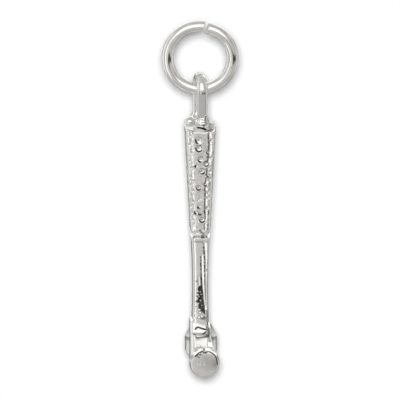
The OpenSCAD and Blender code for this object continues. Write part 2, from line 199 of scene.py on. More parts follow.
class HeadSizes(bpy.types.PropertyGroup):
    """Sizes of the hammer head."""
    rise: length("Eye rise", "Height of the eye above the poll's axis", 2.58)
    drop: length("Eye drop", "Depth of the eye below the poll's axis", 1.1)
    eye_w: length("Eye width", "Width of the eye", 1.56)
    eye_d: length("Eye depth", "Depth of the eye, front to back", 1.86)
    eye_left: length("Eye's left", "How far the eye's left side stands out past the shaft", 0.08)
    eye_ridge: length("Eye ridge", "Softening of the ridges beside the eye's front", 0.06)
    eye_outer: length("Eye's outer ridge", "Softening of the ridges beside the eye's sides", 0.1)
    eye_round: length("Eye rounding", "Rounding of the eye's lower rim", 0.14)
    lip: length("Lip", "How far the eye's front and back lean out down to the sweep", 0.15)
    shoulder: length("Shoulder", "Height of the broken corner at the eye's upper left", 0.2)
    slant: angle("Slant", "Slant of the eye's top, down to the right", 20)
    sweep: length("Sweep", "Radius of the hollow curve from the eye to the poll", 0.3)
    eye_bevel: length("Eye bevel", "Bevel of the eye's corners", 0.2)
    lean: angle("Lean", "Sideways lean of the poll, as cast", 5)
    reach: length("Poll reach", "Distance from the handle's axis to the striking face", 4.59)
    bell: length("Bell", "Diameter of the bell", 2.385)
    bell_len: length("Bell length", "Length of the bell", 0.85)
    face: length("Face", "Diameter of the flat of the striking face", 2.04)
    bell_front: length("Bell front", "Diameter of the bell at its front rim", 2.2)
    crown: length("Crown", "How far the striking face stands out from the bell's rim", 0.16)
    bulge: length("Bulge", "How far the middle of the striking face stands out from its edge", 0.07)
    face_left: length("Face offset", "How far the striking face lies to the left of the bell's middle", 0.08)
    face_up: length("Face lift", "How far the striking face lies above the bell's middle", 0.02)
    neck_w: length("Neck width", "Width of the neck", 1.48)
    neck_root: length("Neck root", "Height of the neck above the poll's axis at the eye", 1.58)
    neck_rise: length("Neck rise", "Height of the neck above the poll's axis at the bell", 1.14)
    neck_drop: length("Neck drop", "Depth of the neck below the poll's axis", 0.92)
    neck_fall: length("Neck fall", "Length over which the neck falls away behind the bell", 0.1)
    neck_edge: length("Neck edge", "Rounding of the neck's long edges", 0.12)
    neck_left: length("Neck's left", "How far the neck's left side is drawn in at the eye", 0.18)
    bell_round: length("Bell rounding", "Rounding of the bell's back edge", 0.16)
    claw_reach: length("Claw reach", "Distance from the handle's axis to the claws' tips", 5.19)
    claw_root: length("Claw root", "Height of the claws' upper face at the eye", 0.95)
    claw_mid: length("Claw middle", "Height of the claws' upper face half way along", 0.42)
    claw_tip: length("Claw tip", "Height of the claws' upper face at the tips", 0.84)
    claw_tip_t: length("Tip thickness", "Thickness of the claws at their tips", 0.22)
    claw_narrow: length("Claw narrowing", "Narrowing of each claw's outer edge towards its tip", 0.55)
    narrow_len: length("Narrowing length", "Length over which the claws narrow towards their tips", 2.3)
    flare: length("Flare", "Length over which the claws spread", 2.3)
    claw_edge: portion("Claw edge", "Rounding of the claws' long edges as a share of their width", 0.07)
    claw_right: length("Claw offset", "How far the claws sit to the right", 0.08)
    spread: length("Claw spread", "Width across both claws", 2.56)
    slot_root: length("Slot root", "Distance from the handle's axis to the root of the nail slot", 2.0)
    slot_w: length("Slot width", "Width of the nail slot at the tips", 0.54)
    slot_start: length("Slot start", "Width of the nail slot at its root", 0.16)


class SilverLook(bpy.types.PropertyGroup):
    """Colours of the silver and of the studio."""
    bright: tint("Bright silver", "Polished silver", "#f5f4f1")
    # The dull colour is the dark end for tarnish and for painted shade at marked places
    dull: tint("Dull silver", "Silver in the deepest recesses, darkened by tarnish", "#2b2925")
    paper: tint("Paper", "Pale paper that the pendant is photographed on", "#f4f4f4")
    tent: tint("Tent", "Cloth of the studio tent, which the metal mirrors", "#fffdfa")


GROUPS = {
    "pendant_ring": RingSizes,
    "pendant_bail": BailSizes,
    "pendant_cap": CapSizes,
    "pendant_grip": GripSizes,
    "pendant_shaft": ShaftSizes,
    "pendant_head": HeadSizes,
    "pendant_look": SilverLook,
}


class Sizes:
    """Reads a group of sizes in millimetres."""

    def __init__(self, group):
        self.group = group

    def __getattr__(self, name):
        value = getattr(self.group, name)
        metres = self.group.bl_rna.properties[name].unit == "LENGTH"
        return value / MM if metres else value


def sizes(name):
    """Sizes of one piece, by the name of its group."""
    return Sizes(getattr(bpy.context.scene, name))


def hang_height():
    """Height of the middle of the ring's wire where the bail hangs on it."""
    ring = sizes("pendant_ring")
    return -(ring.outside - ring.wire) / 2


def bail_bend():
    """Radius of the bail's bend, to the middle of its wire."""
    bail = sizes("pendant_bail")
    return (sizes("pendant_ring").wire + bail.wire) / 2 + bail.play


def bail_leg(side):
    """Middle of the bail's front leg (-1) or back leg (1)."""
    turn = sizes("pendant_bail").turn
    return Vector((-math.sin(turn), math.cos(turn), 0)) * bail_bend() * side


def along(t, top, mid, end):
    """Value a part t of the way along a piece that has sizes at its two ends and its middle."""
    return top * (1 - t) * (1 - 2 * t) + mid * 4 * t * (1 - t) + end * t * (2 * t - 1)


# Mesh helpers

def done():
    """Leaves edit mode."""
    bpy.ops.object.mode_set(mode="OBJECT")


def begin():
    """Leaves nothing selected, so that an operator acts on the new piece alone."""
    if bpy.context.object and bpy.context.object.mode == "EDIT":
        done()
    bpy.ops.object.select_all(action="DESELECT")


def alone(obj):
    """Selects one object alone."""
    begin()
    obj.select_set(True)
    bpy.context.view_layer.objects.active = obj


def edit(obj):
    """Goes into edit mode on one object alone."""
    alone(obj)
    bpy.ops.object.mode_set(mode="EDIT")


def pick(obj, kind, test):
    """Selects the vertices, edges or faces of the edited mesh that pass a test."""
    bpy.ops.mesh.select_mode(type=kind)
    bpy.ops.mesh.select_all(action="DESELECT")
    mesh = bmesh.from_edit_mesh(obj.data)
    for item in {"VERT": mesh.verts, "EDGE": mesh.edges, "FACE": mesh.faces}[kind]:
        if test(item):
            item.select_set(True)
    mesh.select_flush_mode()
    bmesh.update_edit_mesh(obj.data)


def shift(obj, by, test):
    """Moves the vertices of the edited mesh that pass a test."""
    pick(obj, "VERT", test)
    bpy.ops.transform.translate(value=by)


def shift_all(by):
    """Moves the whole edited mesh."""
    bpy.ops.mesh.select_all(action="SELECT")
    bpy.ops.transform.translate(value=by)


def slice_off(at, way):
    """Cuts off what lies beyond a plane and closes the cut."""
    bpy.ops.mesh.select_all(action="SELECT")
    bpy.ops.mesh.bisect(plane_co=at, plane_no=way, clear_outer=True, use_fill=True)


def middle(edge):
    """Middle of an edge."""
    return (edge.verts[0].co + edge.verts[1].co) / 2


def span(edge):
    """Way from one end of an edge to the other."""
    return edge.verts[0].co - edge.verts[1].co


def rises(edge):
    """How much of an edge goes up or down, from 0 to 1."""
    run = span(edge)
    return abs(run.z) / run.length if run.length else 0


def apply_modifier(obj, kind, **settings):
    """Adds a modifier with its settings and applies it."""
    alone(obj)
    modifier = obj.modifiers.new(kind.title(), kind)
    for name, value in settings.items():
        setattr(modifier, name, value)
    bpy.ops.object.modifier_apply(modifier=modifier.name)


def joined(parts):
    """Makes one object of several."""
    begin()
    for part in parts:
        part.select_set(True)
    bpy.context.view_layer.objects.active = parts[0]
    bpy.ops.object.join()
    return parts[0]


def melt(obj, cell):
    """Makes one skin round overlapping shapes."""
    apply_modifier(obj, "REMESH", mode="VOXEL", voxel_size=cell, adaptivity=0)


def cut_away(obj, cutters):
    """Takes overlapping cutters out of a piece as one shape and removes them."""
    cutter = joined(cutters)
    melt(cutter, CUT_CELL)
    apply_modifier(obj, "BOOLEAN", operation="DIFFERENCE", solver="MANIFOLD", object=cutter)
    bpy.data.objects.remove(cutter, do_unlink=True)


def roughen(obj, lump, height, level=0.5, detail=1):
    """Makes a surface swell in lumps of one width; level is the part of the height that goes inwards."""
    clouds = bpy.data.textures.new("swell", "CLOUDS")
    clouds.noise_scale = lump
    clouds.noise_depth = detail
    apply_modifier(obj, "DISPLACE", texture=clouds, texture_coords="LOCAL", strength=height, mid_level=level)
    bpy.data.textures.remove(clouds)


def cast(obj, cell, soften, lump, height):
    """Melts overlapping shapes into one skin, softens its edges and gives it the swell of a casting."""
    melt(obj, cell)
    apply_modifier(obj, "SMOOTH", factor=0.5, iterations=soften)
    roughen(obj, lump, height)


def settle(obj, name, body, node, slot, *materials):
    """Brings a finished piece to metres at the origin, smooths its shading and hands it to its body."""
    begin()
    obj.name = obj.data.name = name
    obj.data.transform(Matrix.Scale(MM, 4) @ obj.matrix_world)
    obj.matrix_world = Matrix.Identity(4)
    edit(obj)
    bpy.ops.mesh.select_all(action="SELECT")
    bpy.ops.mesh.normals_make_consistent(inside=False)
    done()
    bpy.ops.object.shade_smooth_by_angle(angle=math.radians(40))
    # A cut can leave an empty material slot behind
    obj.data.materials.clear()
    for material in materials:
        obj.data.materials.append(material)
    for face in obj.data.polygons:
        face.material_index = 0
    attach(obj, body)
    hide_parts(node)
    obj.select_set(False)


def refinish(obj, test):
    """Gives the faces of a settled piece that pass a test its second material."""
    edit(obj)
    pick(obj, "FACE", test)
    obj.active_material_index = 1
    bpy.ops.object.material_slot_assign()
    done()


def ripple(at, seed):
    """Unevenness between -1 and 1 that is the same in every run."""
    waves = ((5.1, 2.3), (8.3, 4.1), (13.7, 1))
    return sum(math.sin(at * fast + seed * start) for fast, start in waves) / len(waves)


def tube(path, sides=14, deep=1.0, lean=0.0):
    """Closed tube through (place, radius) pairs, its depth a share of its width.

    Four sides cut a V-shaped groove, whose bottom leans to the right by a share of the radius.
    """
    begin()
    place, radius = path[0]
    bpy.ops.mesh.primitive_circle_add(vertices=sides, radius=radius, fill_type="NGON", location=place)
    bpy.ops.object.transform_apply(location=True)
    obj = bpy.context.object
    edit(obj)
    bpy.ops.mesh.select_all(action="SELECT")
    bpy.ops.transform.resize(value=(1, deep, 1), center_override=place)
    shift(obj, (lean * radius, 0, 0), lambda v: v.co.y > place[1] + radius * deep * 0.9)
    bpy.ops.mesh.select_all(action="SELECT")
    runs = [Vector(b) - Vector(a) for (a, _), (b, _) in zip(path, path[1:])]
    turns = [math.atan2(-run.x, -run.z) for run in runs]
    bpy.ops.transform.rotate(value=-turns[0], orient_axis="Y", center_override=place)
    for i, run in enumerate(runs):
        here, after = path[i + 1]
        bpy.ops.mesh.extrude_region_move(TRANSFORM_OT_translate={"value": run})
        bpy.ops.transform.resize(value=(after / path[i][1],) * 3, center_override=here)
        turn = turns[min(i + 1, len(turns) - 1)] - turns[i]
        bpy.ops.transform.rotate(value=-math.remainder(turn, math.tau), orient_axis="Y", center_override=here)
    bpy.ops.mesh.select_all(action="SELECT")
    bpy.ops.mesh.normals_make_consistent(inside=False)
    done()
    return obj


def blob(place, radius, stretch=(1, 1, 1)):
    """Lump of metal, to be melted into a casting or punched out of it."""
    begin()
    bpy.ops.mesh.primitive_ico_sphere_add(subdivisions=3, radius=radius, location=place)
    obj = bpy.context.object
    obj.scale = stretch
    bpy.ops.object.transform_apply(location=True, scale=True)
    return obj


def seen(obj, x, v):
    """Place and normal where the viewer sees a piece, at offset x and height v from the ring's centre."""
    outside = 30
    start = Vector((x, 0, 0)) + VIEW_UP * v + VIEWER * outside
    hit, place, normal, _ = obj.ray_cast(start, -VIEWER)
    if not hit:
        raise RuntimeError(f"nothing at {x}, {v} on {obj.name}")
    return place, normal


def groove(obj, places, radius, sink=0.0, uneven=0.3):
    """Path along a piece through places that the viewer sees, tapered at both ends, to be cut out as a tube.

    A place may have a third number, its share of the radius.
    """
    # Points lie this far apart; the ends start at a share of the radius that grows from point to point
    spacing = 0.06
    tip = 0.4
    growth = 0.3
    path = []
    stops = [(*place, 1)[:3] for place in places]
    for (x0, v0, wide0), (x1, v1, wide1) in zip(stops, stops[1:]):
        count = max(2, round(math.hypot(x1 - x0, v1 - v0) / spacing))
        for i in range(count):
            t = i / count
            place, normal = seen(obj, x0 + (x1 - x0) * t, v0 + (v1 - v0) * t)
            wide = wide0 + (wide1 - wide0) * t
            path.append((place - normal * sink, radius * wide * (1 + uneven * ripple(len(path) * 0.2, x0))))
    last = len(path) - 1
    tapers = [min(1, tip + growth * i, tip + growth * (last - i)) for i in range(last + 1)]
    return [(place, r * taper) for (place, r), taper in zip(path, tapers)]


def spots(obj, places):
    """Places and radii on a piece, from places that the viewer sees."""
    return [(seen(obj, x, v)[0], radius) for x, v, radius in places]


def dark_marks(path, share, grow=1):
    """Darkening marks along a path of places and radii, for painted shade and painted dark reflections with
    some tarnish.
    """
    return [(place, r * grow, share) for place, r in path]


def darken_marked(obj, marks):
    """Darkens marked places through an attribute that the material reads: painted shade and painted dark
    reflections, with some tarnish.

    Each mark is a place, a radius and how dark it is; a negative one keeps a place bright.
    """
    near = KDTree(len(marks))
    for i, mark in enumerate(marks):
        near.insert(mark[0], i)
    near.balance()
    # A mark fades out between its radius and this many times its radius
    fade = 1.35
    reach = fade * max(radius for _, radius, _ in marks)
    shares = []
    for vert in obj.data.vertices:
        dark = bare = 0
        for _, i, far in near.find_range(vert.co, reach):
            _, radius, share = marks[i]
            share *= min(1, max(0, fade - far / radius) / (fade - 1))
            dark = max(dark, share)
            bare = min(bare, share)
        shares.append(max(0, dark + bare))
    layer = obj.data.attributes.new("oxide", "FLOAT", "POINT")
    layer.data.foreach_set("value", shares)


def block(at, size, turn=0):
    """Block of the given size with its middle at a place, turned about the upright."""
    begin()
    bpy.ops.mesh.primitive_cube_add(size=1, location=at, rotation=(0, 0, turn), scale=size)
    bpy.ops.object.transform_apply(location=True, rotation=True, scale=True)
    return bpy.context.object


def bar(width, depth, low, high, bevel, levels):
    """Upright bar with four bevelled corners, divided into levels along its height, left in edit mode."""
    obj = block((0, 0, (low + high) / 2), (width, depth, high - low))
    edit(obj)
    pick(obj, "EDGE", lambda e: rises(e) > 0.9)
    bpy.ops.mesh.bevel(offset=bevel, segments=1, affect="EDGES")
    pick(obj, "EDGE", lambda e: rises(e) > 0.9)
    bpy.ops.mesh.subdivide(number_cuts=levels - 1)
    return obj


def shape_levels(obj, low, high, levels, scale_of):
    """Scales each level of a bar by what scale_of gives for its share of the way down."""
    for i in range(levels + 1):
        z = high + (low - high) * i / levels
        pick(obj, "VERT", lambda v: abs(v.co.z - z) < (high - low) / levels / 4)
        wide, deep = scale_of(i / levels)
        bpy.ops.transform.resize(value=(wide, deep, 1), center_override=(0, 0, z))


def draft(obj, left, right):
    """Makes either half of a bar's front narrower than its back, so that the casting leaves its mould."""
    for side, share in ((-1, left), (1, right)):
        pick(obj, "VERT", lambda v: v.co.y < 0 and v.co.x * side > 0)
        bpy.ops.transform.resize(value=(share, 1, 1), center_override=(0, 0, 0))


def square_corner(obj, by):
    """Moves the inner ridge of the right front corner of a bar outwards."""
    shift(obj, (by, 0, 0), lambda v: v.co.x > 0 and any(f.normal.y < -0.95 for f in v.link_faces))


def soften_ridges(obj, left, right, outer):
    """Bevels the long ridges of a bar: left and right of its front, and those beside its two sides."""
    def ridge(edge, at_side):
        beside = any(abs(face.normal.x) > 0.98 for face in edge.link_faces)
        return rises(edge) > 0.5 and edge.calc_face_angle(0) > math.radians(20) and beside == at_side

    pick(obj, "EDGE", lambda e: ridge(e, True))
    bpy.ops.mesh.bevel(offset=outer, segments=5, affect="EDGES")
    # The back is the front turned half round
    for side, width in ((1, left), (-1, right)):
        pick(obj, "EDGE", lambda e: ridge(e, False) and all(abs(f.normal.x) < 0.95 for f in e.link_faces)
             and any(abs(f.normal.y) > 0.95 for f in e.link_faces) and middle(e).x * middle(e).y * side > 0)
        bpy.ops.mesh.bevel(offset=width, segments=3, affect="EDGES")


def round_end(obj, z, radius, segments):
    """Rounds the rim of a bar at one end."""
    def rim(edge):
        level = all(abs(v.co.z - z) < NEAR for v in edge.verts)
        return level and edge.calc_face_angle(0) > math.radians(30)

    pick(obj, "EDGE", rim)
    bpy.ops.mesh.bevel(offset=radius, segments=segments, affect="EDGES")


# Materials

# How each surface was made: its roughness, the width and depth of its swells, the width of its grit along X,
# Y and Z, the depth of the grit, and how much tarnish stays in its hollows; lengths in millimetres
SURFACES = {
    # Drawn through a plate, which leaves fine lines along the wire, and polished
    "drawn_silver_wire": (0.13, 0.9, 0.008, (0.16, 0.16, 1), 0.004, 0.5),
    # Bent by hand and hard soldered, then polished where the wheel could reach
    "soldered_silver_wire": (0.16, 0.5, 0.02, (0.1, 0.1, 0.1), 0.002, 0.6),
    # Filed along the wire and left
    "filed_silver_flat": (0.3, 0.3, 0.012, (0.05, 0.05, 0.3), 0.004, 0.4),
    # Cast, flooded with solder and polished
    "cast_silver_cap": (0.1, 0.35, 0.01, (0.08, 0.08, 0.08), 0.001, 0.8),
    # Cast, punched and tumbled in shot
    "tumbled_silver_grip": (0.13, 0.32, 0.03, (0.07, 0.07, 0.07), 0.002, 0.8),
    # Cast and polished on a wheel
    "polished_cast_silver": (0.09, 0.5, 0.008, (0.09, 0.09, 0.09), 0.0008, 0.8),
    # Cast, then filed and polished to a mirror
    "polished_silver_head": (0.09, 0.45, 0.004, (0.09, 0.09, 0.09), 0.0005, 0.8),
    # Brushed from top to bottom, so that its fine lines run down the face
    "satin_silver_face": (0.26, 0.4, 0.004, (0.07, 0.07, 0.8), 0.003, 0.3),
}


def linear(code):
    """Linear colour of an sRGB hex code."""
    parts = [int(code[i:i + 2], 16) / 255 for i in (1, 3, 5)]
    return [c / 12.92 if c <= 0.04045 else ((c + 0.055) / 1.055) ** 2.4 for c in parts] + [1]


def per(mm):
    """Scale of a texture whose features are that many millimetres wide."""
    return 1 / (mm * MM)


def add_node(tree, kind, values=None, links=None, **settings):
    """Adds a node with its settings, socket values and links from other nodes' sockets."""
    node = tree.nodes.new(kind)
    for name, value in settings.items():
        setattr(node, name, value)
    for name, value in (values or {}).items():
        node.inputs[name].default_value = value
    for name, source in (links or {}).items():
        tree.links.new(source, node.inputs[name])
    return node


def combine(tree, operation, first, second):
    """Result of a maths operation on two sockets."""
    return add_node(tree, "ShaderNodeMath", {}, {0: first, 1: second}, operation=operation).outputs[0]


def remap(tree, source, low, high, to_low, to_high, **settings):
    """Maps one range of a socket's values to another."""
    values = {"From Min": low, "From Max": high, "To Min": to_low, "To Max": to_high}
    return add_node(tree, "ShaderNodeMapRange", values, {"Value": source}, **settings).outputs[0]


def noise(tree, place, scale, detail):
    """Uneven pattern over the places that a socket gives."""
    values = {"Scale": scale, "Detail": detail}
    return add_node(tree, "ShaderNodeTexNoise", values, {"Vector": place}).outputs["Fac"]


def mixed(tree, share, first, second):
    """Two shaders mixed by a socket's share of the second."""
    links = {0: share, 1: first.outputs[0], 2: second.outputs[0]}
    return add_node(tree, "ShaderNodeMixShader", {}, links)


def surface(tree, shader, kind="ShaderNodeOutputMaterial"):
    """Ends a tree with its shader."""
    add_node(tree, kind, {}, {"Surface": shader.outputs[0]})


def new_material(name):
    """Material with an empty tree."""
    material = bpy.data.materials.new(name)
    material.use_nodes = True
    material.node_tree.nodes.clear()
    return material, material.node_tree


def silver(name, ringed=False):
    """Sterling silver. Uneven polish breaks its mirror, a little tarnish stays in the hollows, and marked
    places take painted shade.
    """
    rough, swell, swell_deep, grit, grit_deep, tarnish = SURFACES[name]
    look = bpy.context.scene.pendant_look
    material, tree = new_material(name)
    place = add_node(tree, "ShaderNodeTexCoord").outputs["Object"]
    low = add_node(tree, "ShaderNodeBump", {"Distance": swell_deep * MM},
                   {"Height": noise(tree, place, per(swell), 2.0)})
    grain = place
    if ringed:
        # The lines of drawn wire follow the ring, so they change with the distance from its centre and front
        flat = add_node(tree, "ShaderNodeVectorMath", {1: (1, 0, 1)}, {0: place}, operation="MULTIPLY")
        radius = add_node(tree, "ShaderNodeVectorMath", {}, {0: flat.outputs[0]}, operation="LENGTH")
        depth = add_node(tree, "ShaderNodeSeparateXYZ", {}, {0: place})
        grain = add_node(tree, "ShaderNodeCombineXYZ", {},
                         {"X": radius.outputs["Value"], "Y": depth.outputs["Y"]}).outputs[0]
    scaled = add_node(tree, "ShaderNodeMapping", {"Scale": [per(g) for g in grit]}, {"Vector": grain})
    fine = add_node(tree, "ShaderNodeBump", {"Distance": grit_deep * MM},
                    {"Height": noise(tree, scaled.outputs[0], 1.0, 3.0), "Normal": low.outputs["Normal"]})
    # Tarnish lies in the hollows and in faint clouds; marked places add painted shade and painted dark
    # reflections
    hollow = add_node(tree, "ShaderNodeNewGeometry").outputs["Pointiness"]
    worn = remap(tree, hollow, 0.41, 0.47, tarnish, 0.0)
    cloud = noise(tree, place, per(1.4), 4.0)
    faint = remap(tree, cloud, 0.45, 0.8, 0.0, 0.12)
    oxide = add_node(tree, "ShaderNodeAttribute", attribute_name="oxide").outputs["Fac"]
    dark = combine(tree, "MAXIMUM", combine(tree, "MAXIMUM", worn, faint), oxide)
    colour = add_node(tree, "ShaderNodeMix", {6: linear(look.bright), 7: linear(look.dull)},
                      {"Factor": dark}, data_type="RGBA")
    gloss = remap(tree, cloud, 0.3, 0.7, rough * 0.7, rough * 1.4)
    shader = add_node(tree, "ShaderNodeBsdfPrincipled", {"Metallic": 1.0},
                      {"Base Color": colour.outputs[2], "Roughness": gloss, "Normal": fine.outputs["Normal"]})
    surface(tree, shader)
    return material


# Pieces

class PENDANT_OT_jump_ring(bpy.types.Operator):
    """Bends the ring's wire and saws it through near the top"""
    bl_idname = "pendant.jump_ring"
    bl_label = "Jump ring"

    def execute(self, context):
        s = sizes("pendant_ring")
        radius = (s.outside - s.wire) / 2
        begin()
        bpy.ops.mesh.primitive_torus_add(rotation=(math.pi / 2, 0, 0), major_segments=224, minor_segments=56,
                                         major_radius=radius, minor_radius=s.wire / 2)
        bpy.ops.object.transform_apply(rotation=True)
        obj = context.object
        gap = Vector((math.sin(s.cut_at), 0, math.cos(s.cut_at))) * radius
        across = Vector((math.cos(s.cut_at + s.slant), 0, -math.sin(s.cut_at + s.slant)))
        across = across * math.cos(s.skew) + Vector((0, math.sin(s.skew), 0))
        half = s.cut / 2 + s.burr

        def past(place):
            return (place - gap).dot(across)

        def at_gap(face):
            return (face.calc_center_median() - gap).length < s.wire

        edit(obj)
        for side in (-1, 1):
            pick(obj, "FACE", at_gap)
            bpy.ops.mesh.bisect(plane_co=gap + across * half * side, plane_no=across)
        pick(obj, "FACE", lambda f: at_gap(f) and abs(past(f.calc_center_median())) < half)
        bpy.ops.mesh.delete(type="FACE")
        for side in (-1, 1):
            pick(obj, "EDGE", lambda e: e.is_boundary and past(middle(e)) * side > 0)
            bpy.ops.mesh.edge_face_add()
            bpy.ops.mesh.inset(thickness=s.burr)
            bpy.ops.transform.translate(value=-across * s.burr * side)
        # The right end sprang inwards when the ring was closed; each step bends a shorter stretch of it
        steps = 9
        shorter = math.radians(4)
        margin = 0.1
        for i in range(steps):
            reach = s.cut_at + s.sprung_from - shorter * i

            def bends(vert):
                turn = math.atan2(vert.co.x, vert.co.z)
                return vert.co.z > 0 and s.cut_at - margin < turn < reach and past(vert.co) > 0

            shift(obj, -gap.normalized() * s.sprung / steps, bends)
        done()
        settle(obj, "jump_ring_wire", "ring", "jump_ring", "ring_silver",
               silver("drawn_silver_wire", ringed=True))
        return {"FINISHED"}


class PENDANT_OT_bail(bpy.types.Operator):
    """Bends the wire staple that hugs the ring"""
    bl_idname = "pendant.bail"
    bl_label = "Bail"

    def execute(self, context):
        s = sizes("pendant_bail")
        bend = bail_bend()
        bend_z = hang_height() - s.play + s.crown_gap
        foot_z = node_span("bail", 2)[0]
        begin()
        bpy.ops.mesh.primitive_torus_add(rotation=(0, math.pi / 2, 0), location=(0, 0, bend_z),
                                         major_segments=112, minor_segments=48,
                                         major_radius=bend, minor_radius=s.wire / 2)
        bpy.ops.object.transform_apply(location=True, rotation=True)
        obj = context.object
        edit(obj)
        bpy.ops.mesh.select_all(action="SELECT")
        bpy.ops.mesh.bisect(plane_co=(0, 0, bend_z), plane_no=UP, clear_inner=True)
        steps = 16
        down = (0, 0, (foot_z - bend_z) / steps)
        for _ in range(steps):
            pick(obj, "EDGE", lambda e: e.is_boundary)
            bpy.ops.mesh.extrude_edges_move(TRANSFORM_OT_translate={"value": down})
        for side in (-1, 1):
            pick(obj, "EDGE", lambda e: e.is_boundary and middle(e).y * side > 0)
            bpy.ops.mesh.edge_face_add()
        bpy.ops.mesh.select_all(action="SELECT")
        bpy.ops.transform.rotate(value=-s.turn, orient_axis="Z", center_override=(0, 0, 0))
        done()
        roughen(obj, s.sway_len, s.sway, level=0.6, detail=2)
        # Flat that a file left on the front leg above the solder
        flat_way = Vector((math.sin(s.flat_turn), -math.cos(s.flat_turn), 0))
        leg = bail_leg(-1)
        flat_low = node_span("end_cap", 2)[1] - s.flat_sunk
        wide = 2
        thick = 1
        cutter = block(leg + flat_way * (s.flat_off + thick / 2) + UP * (s.flat_top + flat_low) / 2,
                       (wide, thick, s.flat_top - flat_low), s.flat_turn)
        cut_away(obj, [cutter])
        # Darker marks on the filed flat, the front of the back leg and the crown of the bend
        steps = 8
        heights = [UP * (s.flat_top + (flat_low - s.flat_top) * i / steps) for i in range(steps + 1)]
        front = leg + flat_way * s.flat_off
        behind = flat_way * s.wire / 2 - leg
        crown = UP * (bend_z + bend + s.wire / 2)
        darken_marked(obj, [(front + height, 0.3, 0.3) for height in heights]
                + [(behind + height, 0.22, 0.3) for height in heights[2:]]
                + [(crown, 0.4, 0.35), (crown + Vector((-0.3, 0.2, -0.2)), 0.3, 0.4)])
        settle(obj, "bail_wire", "hammer", "bail", "wire_silver",
               silver("soldered_silver_wire"), silver("filed_silver_flat"))

        def filed(face):
            place = face.calc_center_median() / MM
            level = face.normal.dot(flat_way) > 0.97 and (place - leg).dot(flat_way) < s.flat_off + 0.01
            return level and place.z < s.flat_top and place.y < 0

        refinish(obj, filed)
        return {"FINISHED"}


class PENDANT_OT_end_cap(bpy.types.Operator):
    """Casts the domed cap and runs solder round the bail's feet"""
    bl_idname = "pendant.end_cap"
    bl_label = "End cap"

    # Slot at the lower rim and folds on the right shoulder, as places that the viewer sees, in millimetres
    SLOT = ((-0.26, -5.48, 0.7), (-0.01, -5.51), (0.23, -5.55), (0.56, -5.68))
    FOLDS = (
        ((0.03, -4.84), (0.38, -4.92), (0.70, -4.90), (0.93, -5.03)),
        ((0.07, -5.11), (0.38, -5.08), (0.70, -5.21), (1.01, -5.24)),
        ((0.31, -5.35), (0.62, -5.32), (0.97, -5.45)),
        ((-0.56, -4.80), (-0.46, -4.98), (-0.40, -5.20), (-0.45, -5.36)),
    )
    # Pits in the solder at the front foot, with their radius
    PITS = ((0.40, -4.44, 0.06), (0.34, -4.60, 0.06), (0.45, -4.62, 0.05), (0.40, -4.78, 0.05))

    def execute(self, context):
        s = sizes("pendant_cap")
        wire = sizes("pendant_bail").wire
        low, high = node_span("end_cap", 2)
        obj = bar(s.width, s.depth, low, high, s.corner, levels=2)
        round_end(obj, high, s.shoulder, segments=8)
        round_end(obj, low, s.rim, segments=3)
        # The right shoulder falls away in a slope
        slope = (1.1, 0, 1)
        slice_off((s.slope_at, 0, high), slope)
        done()
        lumps = [obj]
        for side in (-1, 1):
            begin()
            foot = bail_leg(side) + UP * (high + s.solder_up)
            bpy.ops.mesh.primitive_cone_add(vertices=32, radius1=s.solder, radius2=wire / 2,
                                            depth=s.solder_tall, location=foot)
            bpy.ops.object.transform_apply(location=True)
            lumps.append(context.object)
        # Solder that ran unevenly: a knob on the left shoulder, a drop on the front foot, a low swell on the
        # right, a rib beside the knob and a full front
        lumps.append(blob((-0.8, -1.24, high - 0.02), 0.41))
        lumps.append(blob((0.4, -1.1, high + 0.36), 0.22, (1, 1, 1.5)))
        lumps.append(blob((0.6, -0.9, low + 0.34), 0.5, (1.0, 0.95, 0.7)))
        lumps.append(blob((-0.27, -1.15, high - 0.1), 0.32, (0.6, 0.9, 1.3)))
        lumps.append(blob((0.08, -1.1, low + 0.34), 0.42, (1.0, 0.8, 0.5)))
        obj = joined(lumps)
        cast(obj, cell=0.03, soften=4, lump=0.6, height=0.03)
        slot = groove(obj, self.SLOT, radius=0.085)
        folds = [groove(obj, line, radius=0.045, sink=-0.01) for line in self.FOLDS]
        pits = spots(obj, self.PITS)
        cut_away(obj, [tube(path) for path in [slot] + folds] + [blob(*pit) for pit in pits])
        # Firescale is left on the right slope
        fire = (Vector((0.7, -1.0, high - 0.25)), 0.5, 0.15)
        # The slot under the rim, the folds and the pits are darkened with painted shade and painted dark
        # reflections, and some tarnish
        darken_marked(obj, dark_marks(slot, 1.0) + dark_marks(sum(folds, []), 0.35) + dark_marks(pits, 0.8) + [fire])
        settle(obj, "end_cap_casting", "hammer", "end_cap", "cast_silver", silver("cast_silver_cap"))
        return {"FINISHED"}


